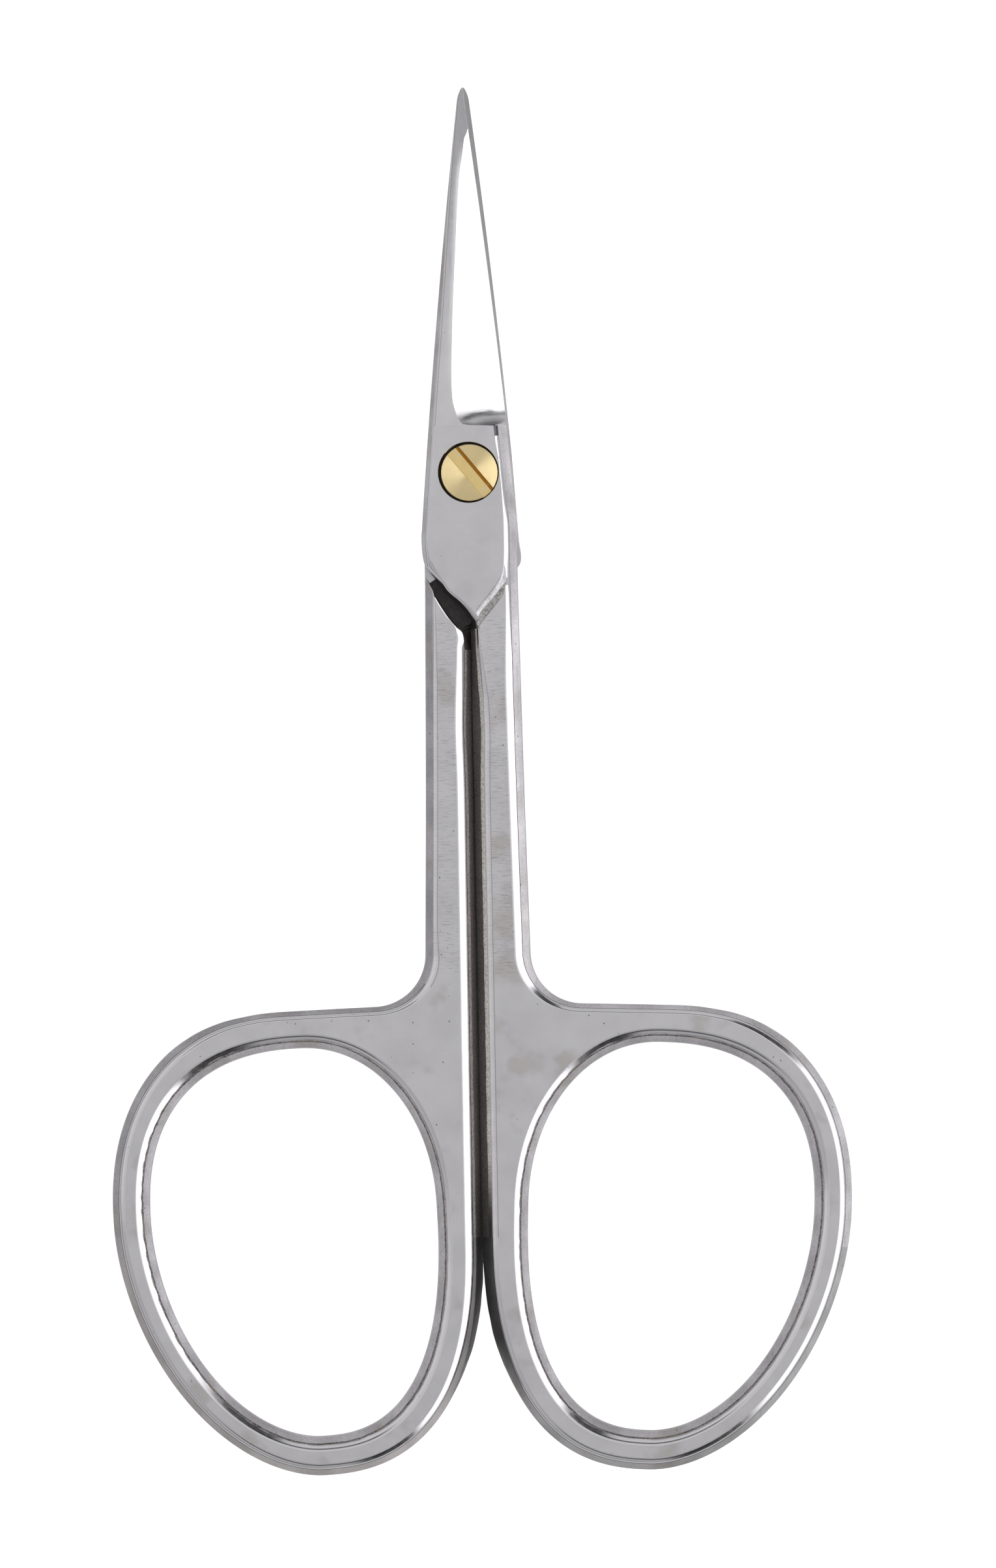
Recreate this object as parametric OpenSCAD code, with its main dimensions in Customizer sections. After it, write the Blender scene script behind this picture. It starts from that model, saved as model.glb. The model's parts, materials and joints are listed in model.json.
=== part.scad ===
// Cuticle scissors, closed, lying on the back of the rear arm with the screw head up.
// X runs across the arms, +Y towards the tips, +Z up. The origin is under the middle of
// the closed scissors. The two arms share one outline: the rear arm is the front arm's
// shape turned half round about the long axis, with its blade bent the other way.

/* [Blades] */
// Distance from the pivot to the tips
blade_reach = 24.95; // [20:0.05:32]
// Radius of the rounded tip, seen from above
tip_r = 0.33; // [0.25:0.01:0.5]
// Fullness of the spine line, where 1 is straight
spine_belly = 1.24; // [1:0.01:1.4]
// Distance from the pivot to the heel of the blade
heel_y = 3.1; // [2.6:0.05:3.6]
// Length of the run-out where the ground face rises to the heel
heel_run = 0.55; // [0.3:0.05:1]
// Thickness of each blade at its tip
tip_t = 0.55; // [0.4:0.01:0.9]
// Length of the solid point before the ground face starts
point_len = 2.7; // [2:0.1:4]
// Height of the flat left along the cutting edge
edge_land = 0.1; // [0.06:0.01:0.2]
// How far the cutting edge stays inside the other blade's spine at the tip
lap_tip = 0.3; // [0.2:0.01:0.4]
// How far the cutting edge stays inside the other blade's spine at the heel
lap_heel = 0.06; // [0.02:0.01:0.2]
// Width of the spine strip beside the ground face near the tip
strip_tip = 0.78; // [0.6:0.01:0.9]
// Width that the spine strip gains towards the heel
strip_gain = 0.85; // [0.5:0.01:1.1]
// Radius of the upward curve of the blades
blade_curve_r = 95; // [70:1:200]

/* [Joint] */
// Half width of the joint at its bulge
joint_hw = 3.2; // [3:0.05:3.8]
// Distance from the pivot down to the bulge
bulge_drop = 4.2; // [3.6:0.05:4.8]
// Distance from the bulge down to the start of the free edge
free_edge_drop = 1.9; // [1.5:0.05:2.4]
// Distance from the pivot down to the lobe at the end of the joint
lobe_drop = 9.65; // [9:0.05:10.6]
// How far the corner at the start of the free edge lies inside the bulge
corner_in = 0.3; // [0.2:0.01:0.4]
// How far the free edge bulges out below a straight line
lobe_bulge = 0.16; // [0:0.02:0.3]
// Thickness of each arm at the joint
plate_t = 1.8; // [1.6:0.05:2.4]
// Clearance between the two joint faces
leaf_gap = 0.04; // [0.02:0.01:0.08]
// Length of the sloping step from the joint down to the shank
step_run = 0.6; // [0.3:0.05:1]
// How far above the shoulder of the back half the step starts
step_lead = 0.15; // [0.1:0.05:0.6]

/* [Screw] */
// Diameter of the brass head
head_d = 3.68; // [3.4:0.02:4]
// Thickness of the head
head_t = 0.8; // [0.6:0.05:1]
// How far the head lies below the face of the joint
head_sink = 0.06; // [0:0.01:0.1]
// Clearance round the head in its seat
head_clearance = 0.12; // [0.05:0.01:0.2]
// Diameter of the plain bearing under the head
bearing_d = 2.6; // [2.3:0.05:3]
// Clearance round the bearing in the front arm
bearing_clearance = 0.03; // [0.02:0.005:0.06]
// Play of the front arm under the head
end_play = 0.03; // [0.02:0.01:0.06]
// Outside diameter of the thread
thread_d = 2; // [1.6:0.05:2.2]
// Pitch of the thread
thread_pitch = 0.4; // [0.3:0.05:0.5]
// Clearance round the thread in the rear arm
thread_clearance = 0.02; // [0.02:0.005:0.05]
// How far the end of the screw stays inside the back face
end_sink = 0.1; // [0.05:0.01:0.2]
// Width of the floor of the driver slot
slot_w = 0.67; // [0.5:0.01:0.8]
// Width of the sloping wall on one side of the slot
slot_slope = 0.22; // [0.1:0.01:0.3]
// Depth of the driver slot
slot_depth = 0.42; // [0.3:0.01:0.5]
// Angle of the slot below the cross line
slot_angle = 51; // [0:1:180]

/* [Shanks] */
// Half thickness of the shanks and bows
handle_h = 1.4; // [1.2:0.05:1.55]
// Gap between the closed shanks
shank_gap = 0.16; // [0.1:0.02:0.3]
// Distance from the centre line to the outer side at the joint
shank_top_x = 3.02; // [2.9:0.02:3.3]
// Distance from the centre line to the outer side at the bow
shank_low_x = 3.42; // [3.2:0.02:3.8]
// Radius of the fillet between shank and bow
fillet_r = 3.4; // [2.4:0.1:4]
// Height of the shoulder's start above the lobe
shoulder_rise = 2.9; // [2.5:0.05:3.2]
// Distance from the lobe down to where the shoulder meets the inner side
shoulder_drop = 1.5; // [1.2:0.05:2]

/* [Bows] */
// Distance from the pivot to the bottom of the bows
handle_reach = 65; // [60:0.1:75]
// Distance from the centre line to the centre of a finger hole
eye_x = 11.3; // [11.2:0.05:14]
// Finger hole from its centre to its outer side
eye_out = 10.26; // [9:0.02:12]
// Finger hole from its centre to its inner side
eye_in = 8.32; // [7.5:0.02:8.4]
// Finger hole from its centre to its top
eye_top = 10.62; // [9:0.02:12]
// Finger hole from its centre to its bottom
eye_bottom = 14.61; // [12:0.02:17]
// Angle that the hole leans towards its outer side
eye_tilt = -2.6; // [-5:0.1:0]
// Width of the bow at its outer side
ring_side = 2.45; // [2:0.01:3]
// Width of the bow beside the other bow
ring_inner = 2.8; // [2:0.01:2.84]
// Width of the bow at its top
ring_top = 2.6; // [2:0.01:3]
// Width of the bow at its bottom
ring_bottom = 2.6; // [2:0.01:3]

/* [Edges] */
// Plan width of the sloping outer sides of the shanks
side_w = 0.48; // [0.3:0.01:0.55]
// Plan width of the sloping side at the spine and down to the bulge
side_spine_w = 0.26; // [0.15:0.01:0.4]
// Plan width of the sloping side of the joint beside the cutting edge
side_joint_w = 0.62; // [0.4:0.01:0.8]
// Plan width of the steep side of the joint's free edge
side_free_w = 0.12; // [0.05:0.01:0.3]
// Plan width of the sloping inner sides of the shanks
side_inner_w = 0.42; // [0.3:0.01:0.5]
// Plan width of the sloping outer sides of the bows
side_bow_w = 0.43; // [0.3:0.01:0.5]
// Plan width of the bevel at the spine
bevel_spine_w = 0.14; // [0.08:0.01:0.2]
// Plan width of the bevel round the joint
bevel_joint_w = 0.19; // [0.1:0.01:0.3]
// Plan width of the outer bevels of the shanks
bevel_w = 0.22; // [0.1:0.01:0.3]
// Plan width of the outer bevels of the bows
bevel_bow_w = 0.13; // [0.1:0.01:0.2]
// Plan width of the inner bevels
bevel_inner_w = 0.4; // [0.2:0.01:0.5]
// Height of the bevels
bevel_h = 0.3; // [0.2:0.01:0.4]
// Plan width of the sloping side inside the finger holes
eye_side_w = 0.3; // [0.2:0.01:0.4]
// Plan width of the bevel round the finger holes
eye_bevel_w = 0.34; // [0.2:0.01:0.4]

/* [Hidden] */

steel = [0.74, 0.74, 0.76];
brass = [0.84, 0.74, 0.46];
cut = 1;               // how far a cutting shape runs past the faces that it cuts
blade_steps = 18;      // cross-sections along a blade
round_step = 6;        // degrees between the points of a bow
turned_fn = 96;        // sides of a turned surface
inner_x = shank_gap / 2;
half_leaf = leaf_gap / 2;

// Shapes of the four quarters of a finger hole and of its bow, where 2 is an ellipse
eye_squareness = [2.4, 2.06, 2.5, 1.86];
ring_squareness = [2.3, 1.9, 2.43, 1.84];
// The oval of the bow reaches a little above its top line, so that the two meet at a slant
crown_extra = 0.25;

eye_y = -(handle_reach - ring_bottom - eye_bottom);
web_y = eye_y + eye_top + ring_top;
lobe = [inner_x, -lobe_drop];

function lerp(a, b, t) = a + (b - a) * t;
function clamp01(t) = min(1, max(0, t));
function smooth01(t) = let (c = clamp01(t)) c * c * (3 - 2 * c);
function reversed(list) = [for (k = [len(list) - 1:-1:0]) list[k]];

// A smooth curve through knots, with the given number of points to each stretch.
// The last knot is left out, so that curves can be joined end to end.
function spline_point(a, b, c, d, t) =
    0.5 * (2 * b + (c - a) * t + (2 * a - 5 * b + 4 * c - d) * t * t
        + (3 * b - a - 3 * c + d) * t * t * t);
function through(knots, steps) =
    let (last = len(knots) - 1)
    [for (i = [0:last - 1], k = [0:steps - 1])
        let (before = i == 0 ? 2 * knots[0] - knots[1] : knots[i - 1])
        let (after = i + 2 > last ? 2 * knots[last] - knots[last - 1] : knots[i + 2])
        spline_point(before, knots[i], knots[i + 1], after, k / steps)];

// Half width of the closed blades and joint at a height y
taper_len = blade_reach + bulge_drop - tip_r;
function half_width(y) =
    let (d = blade_reach - y)
    let (s = (d - tip_r) / taper_len)
    d < tip_r ? sqrt(max(0, 2 * tip_r * d - d * d))
        : tip_r + (joint_hw - tip_r) * (spine_belly * s - (spine_belly - 1) * s * s);

// Blade: how far along it a height lies, from 0 at the heel to 1 at the tip
function along(y) = clamp01((y - heel_y) / (blade_reach - heel_y));
function blade_t(y) = lerp(plate_t, tip_t, along(y));
function edge_x(y) = max(0.02, half_width(y) - lerp(lap_heel, lap_tip, along(y)));
point_end_y = blade_reach - point_len;
point_fade = 1.2;      // length over which the point thins down to the ground face
point_share = 0.75;    // height of the point's edge as a share of its thickness
strip_turn = 0.64;     // share of the blade where the spine strip starts to widen
heel_line_x = -0.3;    // inner end of the line where the ground face meets the joint
ridge_lap = 0.06;      // least distance from the ridge to the cutting edge
function strip_w(y) =
    strip_tip + strip_gain * pow(clamp01((strip_turn - along(y)) / strip_turn), 2);
function ridge_x(y) =
    let (free = strip_w(y) - half_width(y))
    y <= heel_y ? heel_line_x : min(edge_x(y) - ridge_lap, free);
function edge_h(y) =
    y <= heel_y ? plate_t
        : lerp(edge_land, point_share * blade_t(y), smooth01((y - point_end_y) / point_fade));

// The blades rise along a surface of revolution about the pivot, so that they slide
// on each other at every opening of the arms.
curve_lead = 0.3;      // flat stretch between the heel and the start of the curve
curve_start_r = norm([heel_y, half_width(heel_y)]) + curve_lead;
function rise(p) = pow(max(0, norm(p) - curve_start_r), 2) / (2 * blade_curve_r);

// Heights of the blade's cross-sections, from near the tip down to the heel
round_share = 0.35;    // share of the round tip where its only cross-section lies
section_growth = 1.15; // how the cross-sections spread out towards the heel
sections = concat(
    [blade_reach - round_share * tip_r, blade_reach - tip_r],
    [for (k = [1:blade_steps])
        lerp(blade_reach - tip_r, heel_y + heel_run, pow(k / blade_steps, section_growth))],
    [heel_y]);
section_count = len(sections);

// One bow: a closed curve of four quarter ovals about the centre of the finger hole
function quarter(angle) = floor(angle / 90);
function oval_point(angle, squareness, out, inner, top, bottom) =
    let (c = cos(angle))
    let (s = sin(angle))
    let (n = squareness[quarter(((angle % 360) + 360) % 360)])
    let (a = c > 0 ? out : inner)
    let (b = s > 0 ? top : bottom)
    let (r = pow(pow(abs(c) / a, n) + pow(abs(s) / b, n), -1 / n))
    let (u = r * c)
    let (v = r * s)
    [eye_x + u * cos(eye_tilt) - v * sin(eye_tilt),
     eye_y + u * sin(eye_tilt) + v * cos(eye_tilt)];
function eye_point(angle, grow) =
    oval_point(angle, eye_squareness, eye_out + grow, eye_in + grow, eye_top + grow,
        eye_bottom + grow);
function ring_point(angle) =
    oval_point(angle, ring_squareness, eye_out + ring_side, eye_in + ring_inner,
        eye_top + ring_top + crown_extra, eye_bottom + ring_bottom);

// Rim: the outline of an arm where its two halves meet, tip first, down the spine and
// the inner side, round the bow, and up the outer side to the cutting edge. Each entry
// is [x, y, side width, bevel width, height of the side, height of the face].
spine_side_h = 0.72;   // height of the spine's side as a share of the blade's thickness
edge_side_h = 0.7;     // height of the edge's side as a share of the edge's height
tip_bevel_w = 0.06;    // bevel at the end of the spine
edge_w = 0.02;         // side and bevel along the cutting edge
function spine_entry(y) =
    let (share = 1 - along(y))
    let (t = blade_t(y))
    [-half_width(y), y, side_spine_w * share, lerp(tip_bevel_w, bevel_spine_w, share),
     spine_side_h * t, t];
function edge_entry(y) =
    let (at_heel = y <= heel_y)
    [edge_x(y), y, at_heel ? side_w : edge_w, at_heel ? bevel_joint_w : edge_w,
     at_heel ? plate_t - bevel_h : edge_side_h * edge_h(y), edge_h(y)];
function plate_entry(p, side) = [p.x, p.y, side, bevel_joint_w, plate_t - bevel_h, plate_t];
function handle_entry(p, side, bevel) = [p.x, p.y, side, bevel, handle_h - bevel_h, handle_h];

corner = [-(joint_hw - corner_in), -(bulge_drop + free_edge_drop)];
bulge_top_y = -bulge_drop + 0.6;   // where the spine's line ends and the bulge starts
plate_knots = 3;                   // stretches between the heel and the bulge
bulge_knot = [0.22, 0.6];          // shares of the way across and down to the corner
// Shares of the way down the free edge, and of its bulge there
lobe_knots = [[0.3, 0.5], [0.45, 1], [0.75, -0.5]];
joint_left = concat(
    [for (k = [0:plate_knots - 1])
        let (y = lerp(heel_y, bulge_top_y, k / plate_knots)) [-half_width(y), y]],
    through(concat([[-half_width(bulge_top_y), bulge_top_y],
        [-joint_hw, -bulge_drop],
        [lerp(-joint_hw, corner.x, bulge_knot[0]), lerp(-bulge_drop, corner.y, bulge_knot[1])],
        corner],
        [for (q = lobe_knots) lerp(corner, lobe, q[0]) - [0, q[1] * lobe_bulge]],
        [lobe]), 3));
// The sloping side turns steep round the corner and stays so along the free edge
corner_run = 0.9;                  // length over which the side turns steep
corner_lead = 0.7;                 // how far above the corner that starts
joint_left_entries = [for (k = [1:len(joint_left) - 1])
    let (past = smooth01((corner.y + corner_lead - joint_left[k].y) / corner_run))
    plate_entry(joint_left[k], lerp(side_spine_w, side_free_w, past))];
lobe_entries = [plate_entry(lobe, side_free_w)];

// The bow starts beside the other bow and runs round below the hole to its top corner.
// Its angles are counted round the hole's centre from the outer side.
ring_from = 192;
ring_to = 410;
ring_steps = ceil((ring_to - ring_from) / round_step);
ring = [for (k = [0:ring_steps])
    ring_point(ring_from + (ring_to - ring_from) * k / ring_steps)];

// Inner side of the shank, straight down to where the bow turns away from it
inner_side_entries = [for (drop = [step_run, shoulder_drop])
    handle_entry([inner_x, -lobe_drop - drop], side_inner_w, bevel_inner_w)];

// The bow stays clear of the centre line, and its sides narrow from inner to outer ones
bow_turn = 0.25;       // share of the bow over which its sides narrow
ring_entries = [for (k = [0:ring_steps])
    let (share = clamp01(k / (ring_steps * bow_turn)))
    handle_entry([max(inner_x, ring[k].x), ring[k].y],
        lerp(side_inner_w, side_bow_w, share), lerp(bevel_inner_w, bevel_bow_w, share))];

// Top of the bow, its fillet, and the outer side of the shank up to the heel
fillet_c = [shank_low_x + fillet_r, web_y + fillet_r];
// Distances out from the hole's centre and down from the top line of the bow
web_knots = [[5.8, 0.8], [2.9, 0.33], [-0.8, 0.12]];
web = through(concat([ring[ring_steps]],
    [for (q = web_knots) [eye_x + q[0], web_y - q[1]]],
    [[fillet_c.x, web_y]]), 3);
fillet = [for (a = [270:-15:180]) fillet_c + fillet_r * [cos(a), sin(a)]];
shoulder_top_y = -lobe_drop + shoulder_rise;
step_top_y = shoulder_top_y + step_lead;
waist = [0.55, 0.45];  // a point of the outer side, as shares of the way in and up
outer_side = through([[shank_low_x, fillet_c.y],
    [lerp(shank_low_x, shank_top_x, waist[0]), lerp(fillet_c.y, shoulder_top_y, waist[1])],
    [shank_top_x, shoulder_top_y - step_run]], 4);
straight_top_y = step_top_y + 1.3; // end of the straight stretch above the step
joint_right = through(concat([[shank_top_x, step_top_y], [shank_top_x, straight_top_y]],
    [for (k = [1:plate_knots])
        let (y = lerp(straight_top_y, heel_y, k / plate_knots)) [edge_x(y), y]]), 2);
outer_entries = concat(
    [for (k = [1:len(web) - 1]) handle_entry(web[k], side_bow_w, bevel_bow_w)],
    [for (k = [0:len(fillet) - 2]) handle_entry(fillet[k], side_bow_w, bevel_bow_w)],
    [for (p = outer_side) handle_entry(p, side_w, bevel_w)],
    [handle_entry([shank_top_x, shoulder_top_y - step_run], side_w, bevel_w)]);
joint_right_entries = [for (k = [0:len(joint_right) - 1])
    plate_entry(joint_right[k],
        lerp(side_w, side_joint_w, sin(180 * clamp01((k + 0.5) / len(joint_right)))))];

spine_entries = [for (y = sections) spine_entry(y)];
edge_entries = [for (y = reversed(sections)) edge_entry(y)];
apex = [0, blade_reach, tip_r / 3, tip_r / 4, spine_side_h * tip_t, tip_t];
rim = concat([apex], spine_entries, joint_left_entries, lobe_entries, inner_side_entries,
    ring_entries, outer_entries, joint_right_entries, edge_entries);
rim_count = len(rim);

// Places along the rim where one stretch ends and the next one starts
heel_left = section_count;
lobe_at = heel_left + len(joint_left_entries) + 1;
handle_from = lobe_at + 1;
handle_to = handle_from + len(inner_side_entries) + len(ring_entries) + len(outer_entries) - 1;
heel_right = rim_count - section_count;

function flat_point(entry) = [entry.x, entry.y];
function on_blade(i) = i < heel_left || i > heel_right;
function base_z(i, bend) = on_blade(i) ? bend * rise(flat_point(rim[i])) : 0;
function inward(points, i) =
    let (n = len(points))
    let (t = points[(i + 1) % n] - points[(i + n - 1) % n])
    [-t.y, t.x] / norm(t);
rim_flat = [for (e = rim) flat_point(e)];
function set_in(width) = [for (i = [0:rim_count - 1])
    rim_flat[i] + inward(rim_flat, i) * width[i]];
flat_1 = set_in([for (e = rim) e[2]]);
flat_2 = set_in([for (e = rim) e[2] + e[3]]);
ridge_flat = [for (y = sections) [ridge_x(y), y]];

// Back half of the handle: it ends above at the shoulder that faces the other arm
back_from = handle_from + 1;
back_to = handle_to;
shoulder_start = rim_flat[back_to];
shoulder_end = rim_flat[back_from];
// Shares of the way across and down the shoulder
shoulder_knots = [[0.72, 0.34], [0.42, 0.66]];
shoulder_mid = [for (q = shoulder_knots)
    [lerp(shoulder_end.x, shoulder_start.x, q[0]), lerp(shoulder_start.y, shoulder_end.y, q[1])]];
back_rim = concat([for (i = [back_from:back_to]) rim[i]],
    [for (p = shoulder_mid) handle_entry(p, 0, 0)]);
back_flat = [for (e = back_rim) flat_point(e)];
back_count = len(back_rim);
handle_count = back_to - back_from + 1;
// Where the shoulder starts and ends, the levels slide along its wall
function slide(from, to, width) = from + (to - from) * width / abs(to.x - from.x);
function back_point(i, width) =
    i == 0 ? slide(back_flat[0], shoulder_mid[1], width)
        : i == handle_count - 1 ? slide(back_flat[i], shoulder_mid[0], width)
        : back_flat[i] + inward(back_flat, i) * width;
back_1 = [for (i = [0:back_count - 1]) back_point(i, back_rim[i][2])];
back_2 = [for (i = [0:back_count - 1]) back_point(i, back_rim[i][2] + back_rim[i][3])];

// All points of an arm. The blade bends up from its inner face, or down for the rear arm.
function at_height(points, z) = [for (p = points) [p.x, p.y, z]];
function arm_points(bend) = concat(
    [for (i = [0:rim_count - 1]) [rim[i].x, rim[i].y, base_z(i, bend)]],
    [for (i = [0:rim_count - 1]) [flat_1[i].x, flat_1[i].y, base_z(i, bend) + rim[i][4]]],
    [for (i = [0:rim_count - 1]) [flat_2[i].x, flat_2[i].y, base_z(i, bend) + rim[i][5]]],
    [for (p = ridge_flat)
        [p.x, p.y, (p.y > heel_y ? bend * rise(p) : 0) + blade_t(p.y)]],
    at_height(shoulder_mid, 0),
    at_height(back_1, -(handle_h - bevel_h)),
    at_height(back_2, -handle_h));
flat_points = concat(rim_flat, flat_1, flat_2, ridge_flat, shoulder_mid, back_1, back_2);

// Where each group of points starts
at_1 = rim_count;
at_2 = 2 * rim_count;
at_ridge = 3 * rim_count;
at_shoulder = at_ridge + section_count;
at_back_1 = at_shoulder + len(shoulder_mid);
at_back_2 = at_back_1 + back_count;
function back_0(i) = i < handle_count ? back_from + i : at_shoulder + i - handle_count;

// Triangles of a flat face, given as a loop of point numbers that runs to the left:
// the best shaped ear is cut off until three points are left
function turn(a, b, c) = (b.x - a.x) * (c.y - a.y) - (b.y - a.y) * (c.x - a.x);
function holds(a, b, c, p) = turn(a, b, p) >= 0 && turn(b, c, p) >= 0 && turn(c, a, p) >= 0;
function ear_quality(points, loop, k) =
    let (n = len(loop))
    let (before = loop[(k + n - 1) % n], tip = loop[k], after = loop[(k + 1) % n])
    let (a = points[before], b = points[tip], c = points[after])
    let (area = turn(a, b, c))
    let (blocked = area < 1e-5 ? [1] : [for (i = loop)
        if (i != before && i != tip && i != after && holds(a, b, c, points[i])) 1])
    len(blocked) > 0 ? -1 : area / pow(max(norm(a - b), norm(b - c), norm(c - a)), 2);
function flat_triangles(points, loop) =
    let (n = len(loop))
    n == 3 ? [loop]
        : let (quality = [for (k = [0:n - 1]) ear_quality(points, loop, k)])
          let (k = search(max(quality), quality)[0])
          concat([[loop[(k + n - 1) % n], loop[k], loop[(k + 1) % n]]],
              flat_triangles(points, [for (i = [0:n - 1]) if (i != k) loop[i]]));

function band(low, high, count) = [for (i = [0:count - 1])
    let (j = (i + 1) % count)
    each [[low + i, low + j, high + j], [low + i, high + j, high + i]]];
back_bands = [for (i = [0:back_count - 1])
    let (j = (i + 1) % back_count)
    each [[at_back_1 + i, at_back_1 + j, back_0(j)], [at_back_1 + i, back_0(j), back_0(i)],
          [at_back_2 + i, at_back_2 + j, at_back_1 + j],
          [at_back_2 + i, at_back_1 + j, at_back_1 + i]]];
// Blade between two neighbouring cross-sections: spine strip, ground face and inner face
blade_faces = [for (k = [0:section_count - 2])
    let (l = k + 1)
    let (r = rim_count - 1 - k)
    each [[at_2 + l, at_2 + l + 1, at_ridge + k + 1], [at_2 + l, at_ridge + k + 1, at_ridge + k],
          [at_ridge + k, at_ridge + k + 1, at_2 + r - 1], [at_ridge + k, at_2 + r - 1, at_2 + r],
          [r, r - 1, l + 1], [r, l + 1, l]]];
tip_faces = [[at_2, at_2 + 1, at_ridge], [at_2, at_ridge, at_2 + rim_count - 1],
    [rim_count - 1, 1, 0]];
joint_loop = concat([for (i = [heel_left:lobe_at]) at_2 + i],
    [for (i = [handle_to + 1:heel_right]) at_2 + i], [at_ridge + section_count - 1]);
handle_loop = [for (i = [handle_from:handle_to]) at_2 + i];
step_faces = [[at_2 + lobe_at, at_2 + handle_from, at_2 + handle_to],
    [at_2 + lobe_at, at_2 + handle_to, at_2 + handle_to + 1]];
inner_loop = concat([for (i = [heel_left:back_from]) i],
    [for (i = [len(shoulder_mid) - 1:-1:0]) at_shoulder + i],
    [for (i = [back_to:heel_right]) i]);
back_loop = [for (i = [0:back_count - 1]) at_back_2 + i];
function flipped(faces) = [for (f = faces) reversed(f)];
arm_faces = concat(band(0, at_1, rim_count), band(at_1, at_2, rim_count), back_bands,
    blade_faces, tip_faces, step_faces,
    flat_triangles(flat_points, joint_loop), flat_triangles(flat_points, handle_loop),
    flipped(flat_triangles(flat_points, inner_loop)),
    flipped(flat_triangles(flat_points, back_loop)));

// The finger hole opens with a sloping side and a bevel towards both faces
eye_levels = [[-(handle_h + cut), eye_side_w + eye_bevel_w],
    [-handle_h, eye_side_w + eye_bevel_w], [-(handle_h - bevel_h), eye_side_w], [0, 0],
    [handle_h - bevel_h, eye_side_w], [handle_h, eye_side_w + eye_bevel_w],
    [handle_h + cut, eye_side_w + eye_bevel_w]];
eye_steps = 360 / round_step;
eye_points = [for (l = eye_levels, k = [0:eye_steps - 1])
    let (p = eye_point(k * round_step, l[1])) [p.x, p.y, l[0]]];
eye_faces = concat(
    [for (k = [0:len(eye_levels) - 2]) each band(k * eye_steps, (k + 1) * eye_steps, eye_steps)],
    [reversed([for (k = [0:eye_steps - 1]) k]),
     [for (k = [0:eye_steps - 1]) (len(eye_levels) - 1) * eye_steps + k]]);

// The whole part stands on the back of the rear joint, with the origin under its middle
lowest_y = min([for (p = rim_flat) p.y]);
centre_y = (blade_reach + lowest_y) / 2;
lift = plate_t + half_leaf;
module in_place() {
    translate([0, -centre_y, lift]) children();
}

module forging(bend) {
    translate([0, 0, half_leaf]) difference() {
        polyhedron(arm_points(bend), flipped(arm_faces), convexity = 10);
        polyhedron(eye_points, flipped(eye_faces), convexity = 4);
    }
}

// Screw, measured from the plane between the two arms
seat_z = lift - head_sink - head_t - end_play;
head_under_z = seat_z + end_play;
head_chamfer = 0.06;
seat_chamfer = 0.1;
end_chamfer = 0.15;
seat_d = head_d + 2 * head_clearance;
bearing_bore = bearing_d + 2 * bearing_clearance;
thread_bore = thread_d + 2 * thread_clearance;
thread_end_z = -(lift - end_sink);
thread_depth = 0.3 * thread_pitch;
// One thread groove: shares of the pitch along the screw, and of the depth
thread_groove = [[0.1, 0], [0.4, 1], [0.6, 1], [0.9, 0]];
thread_rings = floor((-half_leaf - thread_end_z - end_chamfer - thread_pitch) / thread_pitch);

module front_arm() color(steel) in_place() difference() {
    forging(1);
    translate([0, 0, -cut]) cylinder(d = bearing_bore, h = lift + cut, $fn = turned_fn);
    translate([0, 0, seat_z]) cylinder(d = seat_d, h = lift, $fn = turned_fn);
    translate([0, 0, lift - seat_chamfer])
        cylinder(d1 = seat_d, d2 = seat_d + 4 * seat_chamfer, h = 2 * seat_chamfer,
            $fn = turned_fn);
}

module rear_arm() color(steel) in_place() difference() {
    rotate([0, 180, 0]) forging(-1);
    translate([0, 0, -lift - cut])
        cylinder(d = thread_bore, h = lift + 2 * cut, $fn = turned_fn);
}

module driver_slot() {
    top = slot_depth + cut;
    rotate([0, 0, -slot_angle]) rotate([90, 0, 90])
        linear_extrude(height = 2 * head_d, center = true)
            polygon([[-slot_w / 2, 0], [slot_w / 2, 0],
                     [slot_w / 2 + slot_slope * top / slot_depth, top], [-slot_w / 2, top]]);
}

module pivot_screw() color(brass) in_place() difference() {
    rotate_extrude($fn = turned_fn) polygon(concat(
        [[0, thread_end_z], [thread_d / 2 - end_chamfer, thread_end_z],
         [thread_d / 2, thread_end_z + end_chamfer]],
        [for (k = [0:thread_rings - 1], q = thread_groove)
            [thread_d / 2 - q[1] * thread_depth,
             thread_end_z + end_chamfer + (k + q[0]) * thread_pitch]],
        [[thread_d / 2, -half_leaf], [bearing_d / 2, -half_leaf],
         [bearing_d / 2, head_under_z], [head_d / 2, head_under_z],
         [head_d / 2, head_under_z + head_t - head_chamfer],
         [head_d / 2 - head_chamfer, head_under_z + head_t], [0, head_under_z + head_t]]));
    translate([0, 0, head_under_z + head_t - slot_depth]) driver_slot();
}

front_arm();
rear_arm();
pivot_screw();
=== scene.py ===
import json
import math

import bmesh
import bpy
import numpy as np
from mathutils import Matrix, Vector, noise
from mathutils.geometry import delaunay_2d_cdt


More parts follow.
